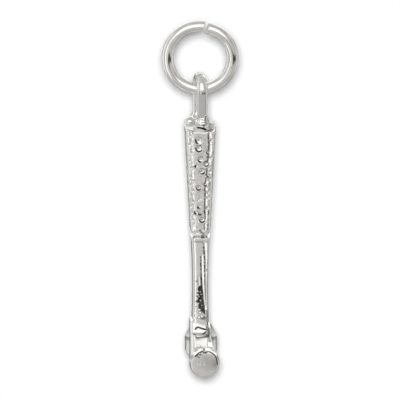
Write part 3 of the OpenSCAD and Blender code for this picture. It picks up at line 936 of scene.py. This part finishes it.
class PENDANT_OT_grip(bpy.types.Operator):
    """Tapers the eight-sided grip and punches its dents"""
    bl_idname = "pendant.grip"
    bl_label = "Grip"

    # Dents that the punch struck on the front: place that the viewer sees, width in millimetres, and the part
    # of the rim where the punch dug in deepest, in degrees round from the right
    STRUCK = (
        (-0.09, -6.48, 0.64, 165, 265), (-0.08, -7.12, 0.64, 185, 330), (0.62, -7.41, 0.34, 190, 300),
        (0.05, -7.97, 0.54, 200, 290), (0.49, -8.32, 0.5, 220, 340), (-0.29, -8.51, 0.22, 100, 250),
        (0.16, -8.90, 0.54, 235, 350), (0.63, -9.22, 0.32, 190, 300), (0.41, -9.93, 0.32, 200, 330),
        (-0.11, -10.20, 0.44, 205, 335), (-0.09, -11.67, 0.26, 180, 290), (-0.31, -12.11, 0.3, 150, 280),
        (-0.02, -12.18, 0.32, 200, 350), (0.16, -12.71, 0.5, 190, 345),
    )
    # Dents with an even rim, on the front and the facets beside it
    EVEN = (
        (-0.02, -11.14, 0.28), (-0.81, -6.87, 0.36), (-0.80, -8.15, 0.4), (-0.82, -9.40, 0.34),
        (-0.73, -10.04, 0.34), (-0.76, -10.89, 0.36), (-0.68, -11.69, 0.32), (-0.60, -12.16, 0.34),
        (-0.57, -12.79, 0.36), (-0.75, -6.17, 0.3), (-0.66, -6.62, 0.26), (-0.64, -7.50, 0.3),
        (-0.60, -8.66, 0.26), (-0.56, -9.70, 0.26), (-0.53, -10.45, 0.28), (-0.50, -11.30, 0.26),
        (0.92, -6.52, 0.34), (0.90, -7.85, 0.3), (0.78, -9.58, 0.3), (0.67, -10.59, 0.3),
        (0.65, -10.99, 0.28), (0.63, -11.77, 0.3),
    )
    # Groove down the right ridge; a third number is a share of its width
    RIDGE = (
        (0.70, -5.86), (0.76, -6.91), (0.71, -7.62), (0.64, -8.24), (0.60, -8.71), (0.53, -9.34),
        (0.42, -10.20, 0.8), (0.45, -10.64, 0.8), (0.42, -11.35, 0.8), (0.42, -12.08, 0.75),
        (0.45, -12.47, 0.75), (0.37, -13.18, 0.7), (0.38, -13.65, 0.6),
    )
    # Pits at both ends, with their radius, and a lump at the lower end
    END_PITS = (
        (0.02, -13.55, 0.07), (0.18, -13.68, 0.08), (0.06, -13.74, 0.06), (-0.56, -5.80, 0.05),
        (-0.58, -5.95, 0.05),
    )
    END_LUMP = (0.31, -13.62, 0.13)

    def execute(self, context):
        s = sizes("pendant_grip")
        low, high = node_span("grip", 2)
        low += s.end_gap
        levels = 24
        obj = bar(s.top_w, s.top_d, low, high, s.bevel, levels)
        shape_levels(obj, low, high, levels, lambda t: (along(t, s.top_w, s.mid_w, s.end_w) / s.top_w,
                                                        along(t, s.top_d, s.mid_d, s.end_d) / s.top_d))
        draft(obj, s.draft, s.draft_right)
        square_corner(obj, s.square)
        soften_ridges(obj, s.ridge, s.crisp, s.outer)
        round_end(obj, high, s.top_round, segments=4)
        round_end(obj, low, s.end_round, segments=6)
        done()
        cutters = []
        burrs = []
        dark = []

        def punch(place, normal, width, share=1.0):
            """Strikes a dent, share times as deep as usual, and gives its depth."""
            deep = width * s.dent_deep / s.dent * share
            ball = (width * width / 4 + deep * deep) / (2 * deep)
            cutters.append(blob(place + normal * (ball - deep), ball))
            return deep

        # Shares of a struck dent's width at which the punch dug in and at which it threw up a burr
        dug_at = 0.4
        burr_at = 0.56
        points = 12
        for x, v, width, start, end in self.STRUCK:
            # Those on the right go deeper
            share = 2.0 if x > 0.4 else 1.3
            depth = punch(*seen(obj, x, v), width, share)
            dug = []
            burr = []
            for i in range(points + 1):
                turn = math.radians(start + (end - start) * i / points)
                bow = math.sin(math.pi * i / points)
                right = math.cos(turn) * width
                up = math.sin(turn) * width
                place, normal = seen(obj, x + right * dug_at, v + up * dug_at)
                dug.append((place - normal * (0.36 * depth - 0.016), 0.026 + 0.036 * bow))
                place, normal = seen(obj, x + right * burr_at, v + up * burr_at)
                burr.append((place - normal * 0.01, 0.028 + 0.04 * bow))
            cutters.append(tube(dug))
            burrs.append(tube(burr))
            # The arc where the punch dug in is darkened with painted dark reflection
            dark += dark_marks(dug, 0.95, grow=1.2)
        for x, v, width in self.EVEN:
            punch(*seen(obj, x, v), width * 1.1, share=2.8)
        # The sides and the back have dents spread by the golden angle; the front flat has its own
        golden = math.radians(137.5)
        front = -0.88
        outside = 5
        for i in range(s.dents):
            turn = Vector((math.cos(golden * i), math.sin(golden * i), 0))
            z = high - s.clear_top - (high - low - s.clear_top - s.clear_end) * (i + 0.5) / s.dents
            if turn.y > front:
                hit, place, normal, _ = obj.ray_cast(turn * outside + UP * z, -turn)
                if not hit:
                    raise RuntimeError("a dent misses the grip")
                punch(place, normal, s.dent * (1 + 0.3 * ripple(i, 3)))
        # Wavy groove down the right of the front panel, and of the back panel; its bottom is darkened with
        # painted shade
        deep = 0.5
        lean = -0.3
        path = groove(obj, self.RIDGE, s.groove, uneven=0.2)
        path = [(place + Vector((-lean * r, 0, 0)), r) for place, r in path]
        for side in (1, -1):
            turned = [(Vector((p.x * side, p.y * side, p.z)), r) for p, r in path]
            cutters.append(tube(turned, sides=4, deep=deep, lean=lean))
        bottom = Vector((-0.65, deep / 2, 0))
        dark += [(p + bottom * r, r * 0.32, 0.6 + 0.3 * ripple(i * 0.1, 2)) for i, (p, r) in enumerate(path)]
        # Flash and pits where the casting met the shaft
        pits = spots(obj, self.END_PITS)
        cutters += [blob(*pit) for pit in pits]
        # The pits are darkened with painted shade
        dark += dark_marks(pits, 0.85)
        burrs += [blob(*lump) for lump in spots(obj, [self.END_LUMP])]
        cut_away(obj, cutters)
        obj = joined([obj] + burrs)
        cast(obj, cell=0.0325, soften=3, lump=0.7, height=0.04)
        darken_marked(obj, dark)
        settle(obj, "grip_casting", "hammer", "grip", "grip_silver", silver("tumbled_silver_grip"))
        return {"FINISHED"}


class PENDANT_OT_shaft(bpy.types.Operator):
    """Draws the waisted shaft with its collar under the grip and the hollows down its front"""
    bl_idname = "pendant.shaft"
    bl_label = "Shaft"

    # Hollows down the front, as places that the viewer sees, in millimetres; a third number is a share of
    # the width
    LEFT_FLUTE = (
        (0.17, -15.36, 0.5), (0.15, -15.53, 0.85), (0.16, -16.23, 0.85), (0.18, -17.01, 0.9),
        (0.23, -17.80), (0.29, -18.58), (0.37, -19.21), (0.46, -19.83),
    )
    RIGHT_FLUTE = (
        (0.36, -14.34, 1.5), (0.38, -14.90, 1.45), (0.42, -15.40, 1.2), (0.44, -15.90), (0.44, -16.62),
        (0.44, -17.80), (0.47, -18.97), (0.51, -19.60),
    )
    # Tear low on the front where the casting shrank, and the pits round it with their radius
    TEAR = (
        (0.02, -17.96, 0.9), (0.02, -18.20, 0.95), (0.01, -18.50, 1.05), (0.02, -19.05, 1.15),
        (0.13, -19.52, 0.95), (0.30, -19.91, 0.6), (0.39, -20.15, 0.35),
    )
    PITS = (
        (-0.11, -18.15, 0.08), (0.16, -18.19, 0.08), (-0.17, -18.60, 0.08), (-0.24, -19.09, 0.1),
        (0.22, -19.05, 0.1), (-0.08, -19.44, 0.08), (0.35, -19.83, 0.08), (-0.27, -17.52, 0.06),
        (0.51, -16.62, 0.05), (-0.05, -19.64, 0.08), (0.06, -19.83, 0.08), (-0.16, -19.30, 0.07),
    )
    # Lumps of bright metal in the tear, with their radius
    GRAINS = (
        (-0.17, -18.31, 0.09), (-0.17, -18.57, 0.09), (0.05, -19.03, 0.07), (-0.02, -19.73, 0.08),
        (0.10, -18.55, 0.06), (-0.12, -19.25, 0.08), (0.14, -19.40, 0.06), (-0.20, -18.86, 0.08),
        (-0.08, -18.72, 0.06), (-0.20, -19.42, 0.07), (0.02, -18.36, 0.05),
    )
    # Mark across the joint under the grip, darkened with painted shade
    JOINT = ((0.27, -13.78), (0.22, -13.92), (0.16, -14.22))
    # Short folds in the skin above the tear and where the foot meets the eye
    FOLDS = (
        ((-0.12, -17.08), (-0.10, -17.50), (-0.06, -17.95)),
        ((-0.24, -18.10), (-0.22, -18.50), (-0.26, -18.90)), ((-0.45, -19.95), (-0.25, -20.10)),
        ((-0.35, -20.22), (-0.10, -20.05)), ((-0.20, -20.35), (0.10, -20.24)),
        ((-0.08, -19.80), (0.08, -20.06)), ((0.05, -20.16), (0.28, -20.36)),
        ((-0.48, -20.28), (-0.28, -20.44)), ((-0.36, -19.40), (-0.30, -19.75)),
    )

    def execute(self, context):
        s = sizes("pendant_shaft")
        high = node_span("grip", 2)[0]
        low = node_span("head", 2)[1]
        top = high + s.tang
        end = low - s.seat
        levels = 48
        obj = bar(s.top_w, s.top_d, end, top, s.bevel, levels)

        def scale_of(t):
            below = t * (top - end) - s.tang
            share = min(max(below / (high - low), 0), 1)
            wide = along(share, s.top_w, s.mid_w, s.end_w)
            deep = along(share, s.top_d, s.mid_d, s.end_d)
            inset = 0
            if below < s.neck_tall:
                inset = s.neck_in
            elif below < s.neck_tall + s.collar:
                inset = -s.collar_out
            return (wide - 2 * inset) / s.top_w, (deep - 2 * inset) / s.top_d

        shape_levels(obj, end, top, levels, scale_of)
        draft(obj, s.draft, s.draft_right)
        square_corner(obj, s.bevel - s.corner)
        # The left bevel leans further to the front
        shift(obj, (0, -s.left_out, 0),
              lambda v: v.co.x < 0 and v.co.y < 0 and any(f.normal.x < -0.9 for f in v.link_faces))
        soften_ridges(obj, s.ridge, s.crisp, s.outer)
        done()
        left = groove(obj, self.LEFT_FLUTE, radius=0.15, uneven=0.1)
        right = groove(obj, self.RIGHT_FLUTE, radius=0.12, uneven=0.1)
        tear = groove(obj, self.TEAR, radius=0.2, uneven=0.5)
        pits = [(*seen(obj, x, v), radius) for x, v, radius in self.PITS]
        folds = [groove(obj, line, radius=0.08) for line in self.FOLDS]
        inwards = Vector((0, 0.02, 0))
        grains = [(place + inwards, radius) for place, radius in spots(obj, self.GRAINS)]
        cut_away(obj, [tube(left, sides=4, deep=0.46, lean=-0.3), tube(right, sides=4, deep=0.36, lean=-0.1),
                       tube(tear, deep=0.5)]
                 + [tube(path, sides=4, deep=0.5, lean=-0.3) for path in folds]
                 + [blob(place + normal * radius * 0.3, radius) for place, normal, radius in pits])
        # Bead between the grip's end and the collar
        bead_z = (high + s.bead_low, high + s.bead)
        bead = bar(s.top_w - s.bead_in, s.top_d - s.bead_in, *bead_z, s.bevel, levels=1)
        round_end(bead, bead_z[1], radius=0.09, segments=4)
        round_end(bead, bead_z[0], radius=0.06, segments=3)
        done()
        obj = joined([obj, bead] + [blob(*grain) for grain in grains])
        cast(obj, cell=0.028, soften=2, lump=0.8, height=0.02)
        # Painted shade and painted dark reflections, with some tarnish, darken the tear and its pits, the
        # groove under the bead, the joint and the left hollow, which is darker lower down; the grains stay
        # bright
        hollow_top = -15.8
        hollow = [(place + Vector((-0.09, 0.04, 0)), 0.03, min(0.85, (hollow_top - place.z) * 0.4))
                  for place, _ in left]
        ring = [(Vector((0.1 * i, -s.top_d / 2 + s.neck_in, high - 0.05)), 0.1) for i in range(-6, 7)]
        torn = [(place + Vector((0, 0.04, 0)), r) for place, r in tear]
        darken_marked(obj, dark_marks(torn, 0.95, grow=0.85)
                + [(place - normal * radius * 0.5, radius * 0.9, 0.8) for place, normal, radius in pits]
                + [mark for mark in hollow if mark[2] > 0]
                + dark_marks(ring, 0.4) + dark_marks(groove(obj, self.JOINT, radius=0.12), 0.6) + dark_marks(grains, -1.0))
        settle(obj, "shaft_casting", "hammer", "shaft", "cast_silver", silver("polished_cast_silver"))
        return {"FINISHED"}


class PENDANT_OT_head(bpy.types.Operator):
    """Casts the head: eye, neck, bell and the two claws"""
    bl_idname = "pendant.head"
    bl_label = "Head"

    # Stations along the claws
    STATIONS = 32
    # Creases above the neck and the ragged line round the top of the striking face, as places that the viewer
    # sees; a third number is a share of the width
    CREASES = (
        ((-0.38, -21.34), (-0.33, -21.20), (-0.16, -21.10), (0.09, -21.19), (0.36, -21.27), (0.66, -21.33)),
        ((0.20, -21.66), (0.38, -21.53), (0.58, -21.42)),
        ((-0.52, -21.58), (-0.42, -21.68), (-0.30, -21.75)),
        ((0.46, -21.66), (0.58, -21.72), (0.70, -21.75)),
    )
    RAGGED = (
        (-0.44, -23.46, 0.6), (-0.23, -23.28), (-0.09, -23.11), (0.12, -22.99), (0.37, -23.12, 0.8),
        (0.68, -23.02, 0.8), (0.93, -23.08), (1.17, -23.30), (1.30, -23.56), (1.34, -23.80, 0.8),
        (1.34, -24.02, 0.7),
    )
    # Chips beside the ragged line, with their radius
    CHIPS = (
        (-0.09, -23.47, 0.05), (0.05, -23.28, 0.05), (0.06, -23.10, 0.06), (-0.20, -23.38, 0.04),
        (-0.02, -23.24, 0.04),
    )
    # Dark line of painted shade down the right edge of the eye and neck, and streaks of painted dark
    # reflection down the claws
    SEAM = (
        (0.52, -20.65, 2.6), (0.56, -20.93, 3.4), (0.62, -21.25, 2.8), (0.70, -21.55, 2.0),
        (0.74, -22.03, 2.2), (0.79, -22.40, 2.2),
    )
    STREAKS = (
        ((-1.03, -21.62), (-1.05, -22.60)),
        ((1.02, -21.60), (1.06, -22.60)),
        ((1.22, -21.80), (1.22, -22.50)),
    )
    # Marks of the brush down the face
    BRUSHED = (
        ((-0.02, -23.72), (0.0, -24.20)),
        ((0.26, -23.70), (0.33, -24.24)),
        ((-0.22, -23.84), (-0.21, -24.14)),
    )

    def execute(self, context):
        s = sizes("pendant_head")
        axis_z = node_span("head", 2)[1] - s.rise
        obj = joined([self.eye(s), self.neck_and_bell(s), self.claws(s)])
        edit(obj)
        shift_all((0, 0, axis_z))
        done()
        cast(obj, cell=0.036, soften=6, lump=0.9, height=0.01)
        # Cold shuts that the casting left in the hollow above the neck, and the ragged upper edge of the face
        folds = [groove(obj, line, radius=0.06, sink=-0.01) for line in self.CREASES]
        folds.append(groove(obj, self.RAGGED, radius=0.055, sink=-0.005))
        chips = spots(obj, self.CHIPS)
        brushed = [groove(obj, line, radius=0.08, sink=-0.055) for line in self.BRUSHED]
        cut_away(obj, [tube(path) for path in folds + brushed] + [blob(*chip) for chip in chips])
        right_edge_shade = groove(obj, self.SEAM, radius=0.045)
        streaks = [mark for line in self.STREAKS for mark in groove(obj, line, radius=0.06)]
        # The tops of the claws are darkened with painted shade
        skin = []
        start = s.eye_d / 2
        for i in range(self.STATIONS + 1):
            t = i / self.STATIONS
            y = start + (s.claw_reach - start) * t
            z = axis_z + along(t, s.claw_root, s.claw_mid, s.claw_tip)
            skin += [(Vector((x, y, z)), 0.3) for x in (-0.95, -0.55, 0.55, 0.95)]
        # Painted shade and painted dark reflections, with some tarnish, darken the creases, the ragged line,
        # the chips, the right edge, the streaks and the claw tops
        darken_marked(obj, dark_marks(sum(folds, []), 0.95) + dark_marks(chips, 0.8) + dark_marks(right_edge_shade, 0.7)
                + dark_marks(streaks, 0.5) + dark_marks(skin, 0.68))
        settle(obj, "head_casting", "hammer", "head", "head_silver",
               silver("polished_silver_head"), silver("satin_silver_face"))
        # The brush was held flat against the striking face
        poll = Vector((math.sin(s.lean), -math.cos(s.lean), 0))
        start = (s.reach - 0.12) * MM
        refinish(obj, lambda f: f.normal.dot(poll) > 0.985 and f.calc_center_median().dot(poll) > start)
        return {"FINISHED"}

    def eye(self, s):
        """Eye with hollow sweeps down to the poll and the claws."""
        levels = 36
        tall = s.rise + s.drop
        obj = bar(s.eye_w, s.eye_d, -s.drop, s.rise, s.eye_bevel, levels)
        sweep_top = s.neck_root + s.sweep

        def flare(z):
            down = min(max(sweep_top - z, 0), s.sweep)
            return s.sweep - math.sqrt(s.sweep * s.sweep - down * down)

        def scale_of(t):
            z = s.rise - tall * t
            lip = s.lip * min(1, (s.rise - z) / (s.rise - sweep_top))
            return 1, 1 + 2 * (flare(z) + lip) / s.eye_d

        shape_levels(obj, -s.drop, s.rise, levels, scale_of)
        # The front follows the lean of the poll
        for i in range(levels + 1):
            z = s.rise - tall * i / levels
            shift(obj, ((s.eye_d / 2 + flare(z)) * math.tan(s.lean), 0, 0),
                  lambda v: v.co.y < 0 and abs(v.co.z - z) < tall / levels / 4)
        # Its left side stands out past the shaft
        shift(obj, (-s.eye_left, 0, 0), lambda v: v.co.x < 0)
        soften_ridges(obj, s.eye_ridge, s.eye_ridge, s.eye_outer)
        # The top was filed off at a slant, and its left corner broken
        slice_off((-s.eye_w / 2, 0, s.rise), (math.sin(s.slant), 0, math.cos(s.slant)))
        slice_off((-s.eye_w / 2 - s.eye_left, 0, s.rise - s.shoulder), (-1, 0, 1))
        round_end(obj, -s.drop, s.eye_round, segments=3)
        done()
        return obj

    def neck_and_bell(self, s):
        """Neck and bell, turned to the lean of the poll."""
        # Neck with rounded edges, which falls away just behind the bell; its slope runs on into the eye
        back = s.reach - s.bell_len
        overlap = 0.3
        run_on = 1.5
        in_eye = -0.5
        obj = block((0, -(back + overlap) / 2, (s.neck_rise - s.neck_drop) / 2),
                    (s.neck_w, back + overlap, s.neck_rise + s.neck_drop))
        edit(obj)
        shift(obj, (0, 0, (s.neck_root - s.neck_rise) * run_on), lambda v: v.co.z > 0 and v.co.y > in_eye)
        bpy.ops.mesh.select_all(action="SELECT")
        bpy.ops.mesh.bisect(plane_co=(0, -(back - s.neck_fall), 0), plane_no=(0, 1, 0))
        shift(obj, (0, 0, -s.neck_fall), lambda v: v.co.z > 0 and v.co.y < -back)
        # Its left side is drawn in at the eye
        shift(obj, (s.neck_left, 0, 0), lambda v: v.co.x < 0 and v.co.y > in_eye)
        pick(obj, "EDGE", lambda e: abs(span(e).y) > 0.3 and abs(middle(e).x) > s.neck_w * 0.4)
        bpy.ops.mesh.bevel(offset=s.neck_edge, segments=3, affect="EDGES")
        # Bell turned about the poll's axis
        bell_len = s.bell_len - s.crown
        bpy.ops.mesh.primitive_cylinder_add(vertices=96, radius=s.bell / 2, depth=bell_len,
                                            rotation=(math.pi / 2, 0, 0),
                                            location=(0, -(back + bell_len / 2), 0))
        pick(obj, "EDGE", lambda e: all(abs(v.co.y + back) < NEAR for v in e.verts))
        bpy.ops.mesh.bevel(offset=s.bell_round, segments=6, affect="EDGES")
        # Striking face: a rounded edge, then a slight crown
        edge = -(s.reach - s.crown)
        pick(obj, "FACE", lambda f: f.normal.y < -0.99 and abs(f.calc_center_median().y - edge) < 10 * NEAR)
        taper = s.bell_front / s.bell
        bpy.ops.transform.resize(value=(taper, 1, taper), center_override=(0, edge, 0))
        radius = s.bell_front / 2
        out = 0
        flat = s.face / 2
        steps = 6
        rim = [(radius + (flat - radius) * i / steps,
                (s.crown - s.bulge) * i / steps * (1.2 - 0.2 * i / steps)) for i in range(1, steps + 1)]
        steps = 10
        crown = [(flat * (1 - i / steps), s.crown - s.bulge * (1 - i / steps) ** 2) for i in range(1, steps)]
        # The flat lies a little off the middle, to the left
        for wide, rise in rim + crown:
            off = (rise - out) / s.crown
            bpy.ops.mesh.extrude_region_move()
            bpy.ops.transform.resize(value=(wide / radius, 1, wide / radius), center_override=(0, edge, 0))
            bpy.ops.transform.translate(value=(-s.face_left * off, out - rise, s.face_up * off))
            radius = wide
            out = rise
        bpy.ops.mesh.select_all(action="SELECT")
        bpy.ops.transform.rotate(value=-s.lean, orient_axis="Z", center_override=(0, 0, 0))
        done()
        return obj

    def claws(self, s):
        """Two claws that spread past the eye, curve up and thin to their tips, parted by the nail slot."""
        obj = block((0, s.claw_reach / 2, 0), (1, s.claw_reach, 1))
        edit(obj)
        pick(obj, "EDGE", lambda e: abs(span(e).y) > 1)
        bpy.ops.mesh.bevel(offset=s.claw_edge, segments=4, affect="EDGES")
        pick(obj, "EDGE", lambda e: abs(span(e).y) > 1)
        bpy.ops.mesh.subdivide(number_cuts=self.STATIONS - 1)
        start = s.eye_d / 2
        wider = (s.spread - s.eye_w) / 2
        # The under side curls up and the outer edges draw in mostly near the tips
        curl = 2.5
        draw_in = 1.8
        for i in range(self.STATIONS + 1):
            y = s.claw_reach * i / self.STATIONS
            t = max(0, (y - start) / (s.claw_reach - start))
            upper = along(t, s.claw_root, s.claw_mid, s.claw_tip)
            under = -s.drop + (s.claw_tip - s.claw_tip_t + s.drop) * t ** curl
            spread = math.sin(math.pi / 2 * min(1, max(0, y - start) / s.flare)) ** 2
            inward = max(0, 1 - (s.claw_reach - y) / s.narrow_len) ** draw_in
            half = s.eye_w / 2 + wider * spread - s.claw_narrow * inward
            pick(obj, "VERT", lambda v: abs(v.co.y - y) < NEAR)
            bpy.ops.transform.resize(value=(2 * half, 1, upper - under), center_override=(0, y, 0))
            bpy.ops.transform.translate(value=(0, 0, (upper + under) / 2))
        done()
        # Nail slot, which widens to the tips and is cut through a little beyond them
        far = s.claw_reach + 0.5
        tall = 4
        slot = block((0, (s.slot_root + far) / 2, 0), (s.slot_start, far - s.slot_root, tall))
        edit(slot)
        pick(slot, "VERT", lambda v: v.co.y > s.claw_reach)
        bpy.ops.transform.resize(value=(s.slot_w / s.slot_start, 1, 1), center_override=(0, far, 0))
        done()
        cut_away(obj, [slot])
        edit(obj)
        shift_all((s.claw_right, 0, 0))
        done()
        return obj


class PENDANT_OT_stage(bpy.types.Operator):
    """Sets the paper, the tent with its lights and flags, and the camera"""
    bl_idname = "pendant.stage"
    bl_label = "Studio"

    # Lights and flags in the tent, each as its window of directions in degrees (left, right, low, high; seen
    # from the pendant, 0 is straight at the viewer), its brightness and how much of its width is a soft edge
    CARDS = {
        "top_light": (-55, 50, -1, 62, 1.2, 0.4),
        "left_light": (-52, -32, -45, 20, 1.25, 0.5),
        "left_flag": (-80, -58, -45, 8, 0.4, 0.5),
        "side_light": (-122, -80, -50, 45, 0.95, 0.5),
        "right_light": (82, 130, -45, 45, 0.65, 0.5),
        "back_light": (118, 242, -4, 48, 1.2, 0.4),
        "back_top_light": (145, 215, 44, 84, 0.6, 0.5),
        "back_shade": (125, 235, -60, 3, 0.28, 0.6),
        "left_wing_light": (-150, -126, -45, 3, 0.72, 0.5),
        "right_wing_light": (126, 150, -45, 3, 0.65, 0.5),
        "floor_flag": (-30, 30, -54, -28, 0.38, 0.5),
        "lens_flag": (-10, 15, -10, -4, 0.05, 0.2),
        "side_flag": (7, 72, -20, -9, 0.04, 0.2),
    }
    # Width of the picture: pixels of the photo, and millimetres to a pixel
    PIXELS = 400
    PIXEL = 0.0783
    # Middle of the picture, and distances from it to the camera, paper, tent, cards and lamp
    CENTRE = Vector((0, 0, -11.54)) * MM
    CAMERA_FAR = 130 * MM
    PAPER_FAR = 24 * MM
    TENT_FAR = 1.0
    CARD_FAR = 0.8
    LAMP_FAR = 0.4
    PAPER_SIZE = 36 * MM
    # Turn of the lamp's beam down and to the right from the camera's view and its width, in degrees, and its
    # strength
    LAMP_DOWN = 0.6
    LAMP_RIGHT = 0.13
    LAMP_WIDTH = 2.2
    LAMP_STRENGTH = 2.54

    def execute(self, context):
        scene = context.scene
        look = scene.pendant_look
        scene.view_settings.view_transform = "Standard"
        world = bpy.data.worlds.new("white_studio")
        scene.world = world
        world.use_nodes = True
        tree = world.node_tree
        tree.nodes.clear()
        # White behind the pendant and in its metal, and a little light on the paper, which has its own lamp
        path = add_node(tree, "ShaderNodeLightPath").outputs
        direct = combine(tree, "MAXIMUM", path["Is Camera Ray"], path["Is Glossy Ray"])
        direct = combine(tree, "MAXIMUM", direct, path["Is Transmission Ray"])
        level = remap(tree, direct, 0, 1, 0.3, 1.0)
        sky = add_node(tree, "ShaderNodeBackground", {"Color": (1, 1, 1, 1)}, {"Strength": level})
        surface(tree, sky, "ShaderNodeOutputWorld")
        facing = (math.pi / 2 - TILT, 0, 0)
        begin()
        bpy.ops.object.camera_add(location=self.CENTRE + VIEWER * self.CAMERA_FAR, rotation=facing)
        camera = context.object
        camera.data.type = "ORTHO"
        camera.data.ortho_scale = self.PIXELS * self.PIXEL * MM
        camera.data.clip_start = MM
        camera.data.clip_end = 2 * self.TENT_FAR
        scene.camera = camera
        # Paper behind the pendant, clear when it is seen from its back
        begin()
        bpy.ops.mesh.primitive_plane_add(size=self.PAPER_SIZE, location=self.CENTRE - VIEWER * self.PAPER_FAR,
                                         rotation=facing)
        material, tree = new_material("matt_paper")
        behind = add_node(tree, "ShaderNodeNewGeometry").outputs["Backfacing"]
        matt = add_node(tree, "ShaderNodeBsdfDiffuse", {"Color": linear(look.paper)})
        surface(tree, mixed(tree, behind, matt, add_node(tree, "ShaderNodeBsdfTransparent")))
        context.object.visible_glossy = False
        self.place("paper", material)
        # Grey tent of folded cloth round everything, brighter on the left, which only the metal sees
        begin()
        bpy.ops.mesh.primitive_uv_sphere_add(segments=48, ring_count=24, radius=self.TENT_FAR,
                                             location=self.CENTRE)
        material, tree = new_material("tent_cloth")
        spot = add_node(tree, "ShaderNodeTexCoord").outputs["Object"]
        lit = add_node(tree, "ShaderNodeVectorMath", {1: (-0.08, -0.1, 0)}, {0: spot},
                       operation="DOT_PRODUCT")
        cloth = remap(tree, noise(tree, spot, per(250), 1.0), 0.3, 0.7, 0.36, 0.68)
        shade = combine(tree, "ADD", lit.outputs["Value"], cloth)
        surface(tree, add_node(tree, "ShaderNodeEmission", {"Color": linear(look.tent)}, {"Strength": shade}))
        self.place("tent", material, True)
        for name, window in self.CARDS.items():
            self.card(name, *window)
        # Lamp almost behind the viewer for the close soft shadow on the paper
        begin()
        bpy.ops.object.light_add(type="SUN", location=self.CENTRE + VIEWER * self.LAMP_FAR, rotation=facing)
        lamp = context.object
        lamp.name = "paper_lamp"
        lamp.rotation_euler.x -= math.radians(self.LAMP_DOWN)
        lamp.rotation_euler.z -= math.radians(self.LAMP_RIGHT)
        lamp.data.angle = math.radians(self.LAMP_WIDTH)
        lamp.data.energy = self.LAMP_STRENGTH
        lamp.visible_glossy = False
        return {"FINISHED"}

    def place(self, name, material, mirrored_only=False):
        """Names the new stage object, gives it its material and, if asked, shows it only in the metal."""
        obj = bpy.context.object
        obj.name = name
        obj.data.materials.append(material)
        if mirrored_only:
            obj.visible_camera = False
            obj.visible_diffuse = False
            obj.visible_shadow = False

    def card(self, name, left, right, low, high, level, soft):
        """Card that fills a window of directions, with soft edges, and shows only in the metal."""
        turn = math.radians((left + right) / 2)
        lift = math.radians((low + high) / 2)
        way = Vector((math.sin(turn) * math.cos(lift), -math.cos(turn) * math.cos(lift), math.sin(lift)))
        wide = 2 * self.CARD_FAR * math.tan(math.radians(right - left) / 2)
        tall = 2 * self.CARD_FAR * math.tan(math.radians(high - low) / 2)
        begin()
        bpy.ops.mesh.primitive_plane_add(size=1, location=self.CENTRE + way * self.CARD_FAR,
                                         rotation=way.to_track_quat("Z", "Y").to_euler())
        bpy.context.object.scale = (wide, tall, 1)
        material, tree = new_material(name)
        spot = add_node(tree, "ShaderNodeTexCoord").outputs["Object"]
        parts = add_node(tree, "ShaderNodeSeparateXYZ", {}, {0: spot}).outputs
        fades = []
        for axis in ("X", "Y"):
            off = add_node(tree, "ShaderNodeMath", {}, {0: parts[axis]}, operation="ABSOLUTE").outputs[0]
            fades.append(remap(tree, off, 0.5 - soft / 2, 0.5, 1.0, 0.0, interpolation_type="SMOOTHSTEP"))
        share = combine(tree, "MULTIPLY", *fades)
        glow = add_node(tree, "ShaderNodeEmission", {"Color": (level, level, level, 1)})
        surface(tree, mixed(tree, share, add_node(tree, "ShaderNodeBsdfTransparent"), glow))
        self.place(name, material, True)


class PENDANT_PT_sidebar(bpy.types.Panel):
    """Lists the pieces of the pendant and their sizes"""
    bl_idname = "PENDANT_PT_sidebar"
    bl_label = "Hammer pendant"
    bl_space_type = "VIEW_3D"
    bl_region_type = "UI"
    bl_category = "Pendant"

    def draw(self, context):
        for step in STEPS:
            self.layout.operator(step.bl_idname)
        for name, group in GROUPS.items():
            box = self.layout.box()
            for prop in group.__annotations__:
                box.prop(getattr(context.scene, name), prop)


STEPS = (
    PENDANT_OT_jump_ring,
    PENDANT_OT_bail,
    PENDANT_OT_end_cap,
    PENDANT_OT_grip,
    PENDANT_OT_shaft,
    PENDANT_OT_head,
    PENDANT_OT_stage,
)
CLASSES = (*GROUPS.values(), *STEPS, PENDANT_PT_sidebar)


def register():
    for cls in CLASSES:
        bpy.utils.register_class(cls)
    for name, group in GROUPS.items():
        setattr(bpy.types.Scene, name, PointerProperty(type=group))


def unregister():
    for name in GROUPS:
        delattr(bpy.types.Scene, name)
    for cls in reversed(CLASSES):
        bpy.utils.unregister_class(cls)


def main():
    register()
    bpy.ops.pendant.jump_ring()
    bpy.ops.pendant.bail()
    bpy.ops.pendant.end_cap()
    bpy.ops.pendant.grip()
    bpy.ops.pendant.shaft()
    bpy.ops.pendant.head()
    bpy.ops.pendant.stage()


if __name__ == "__main__":
    main()
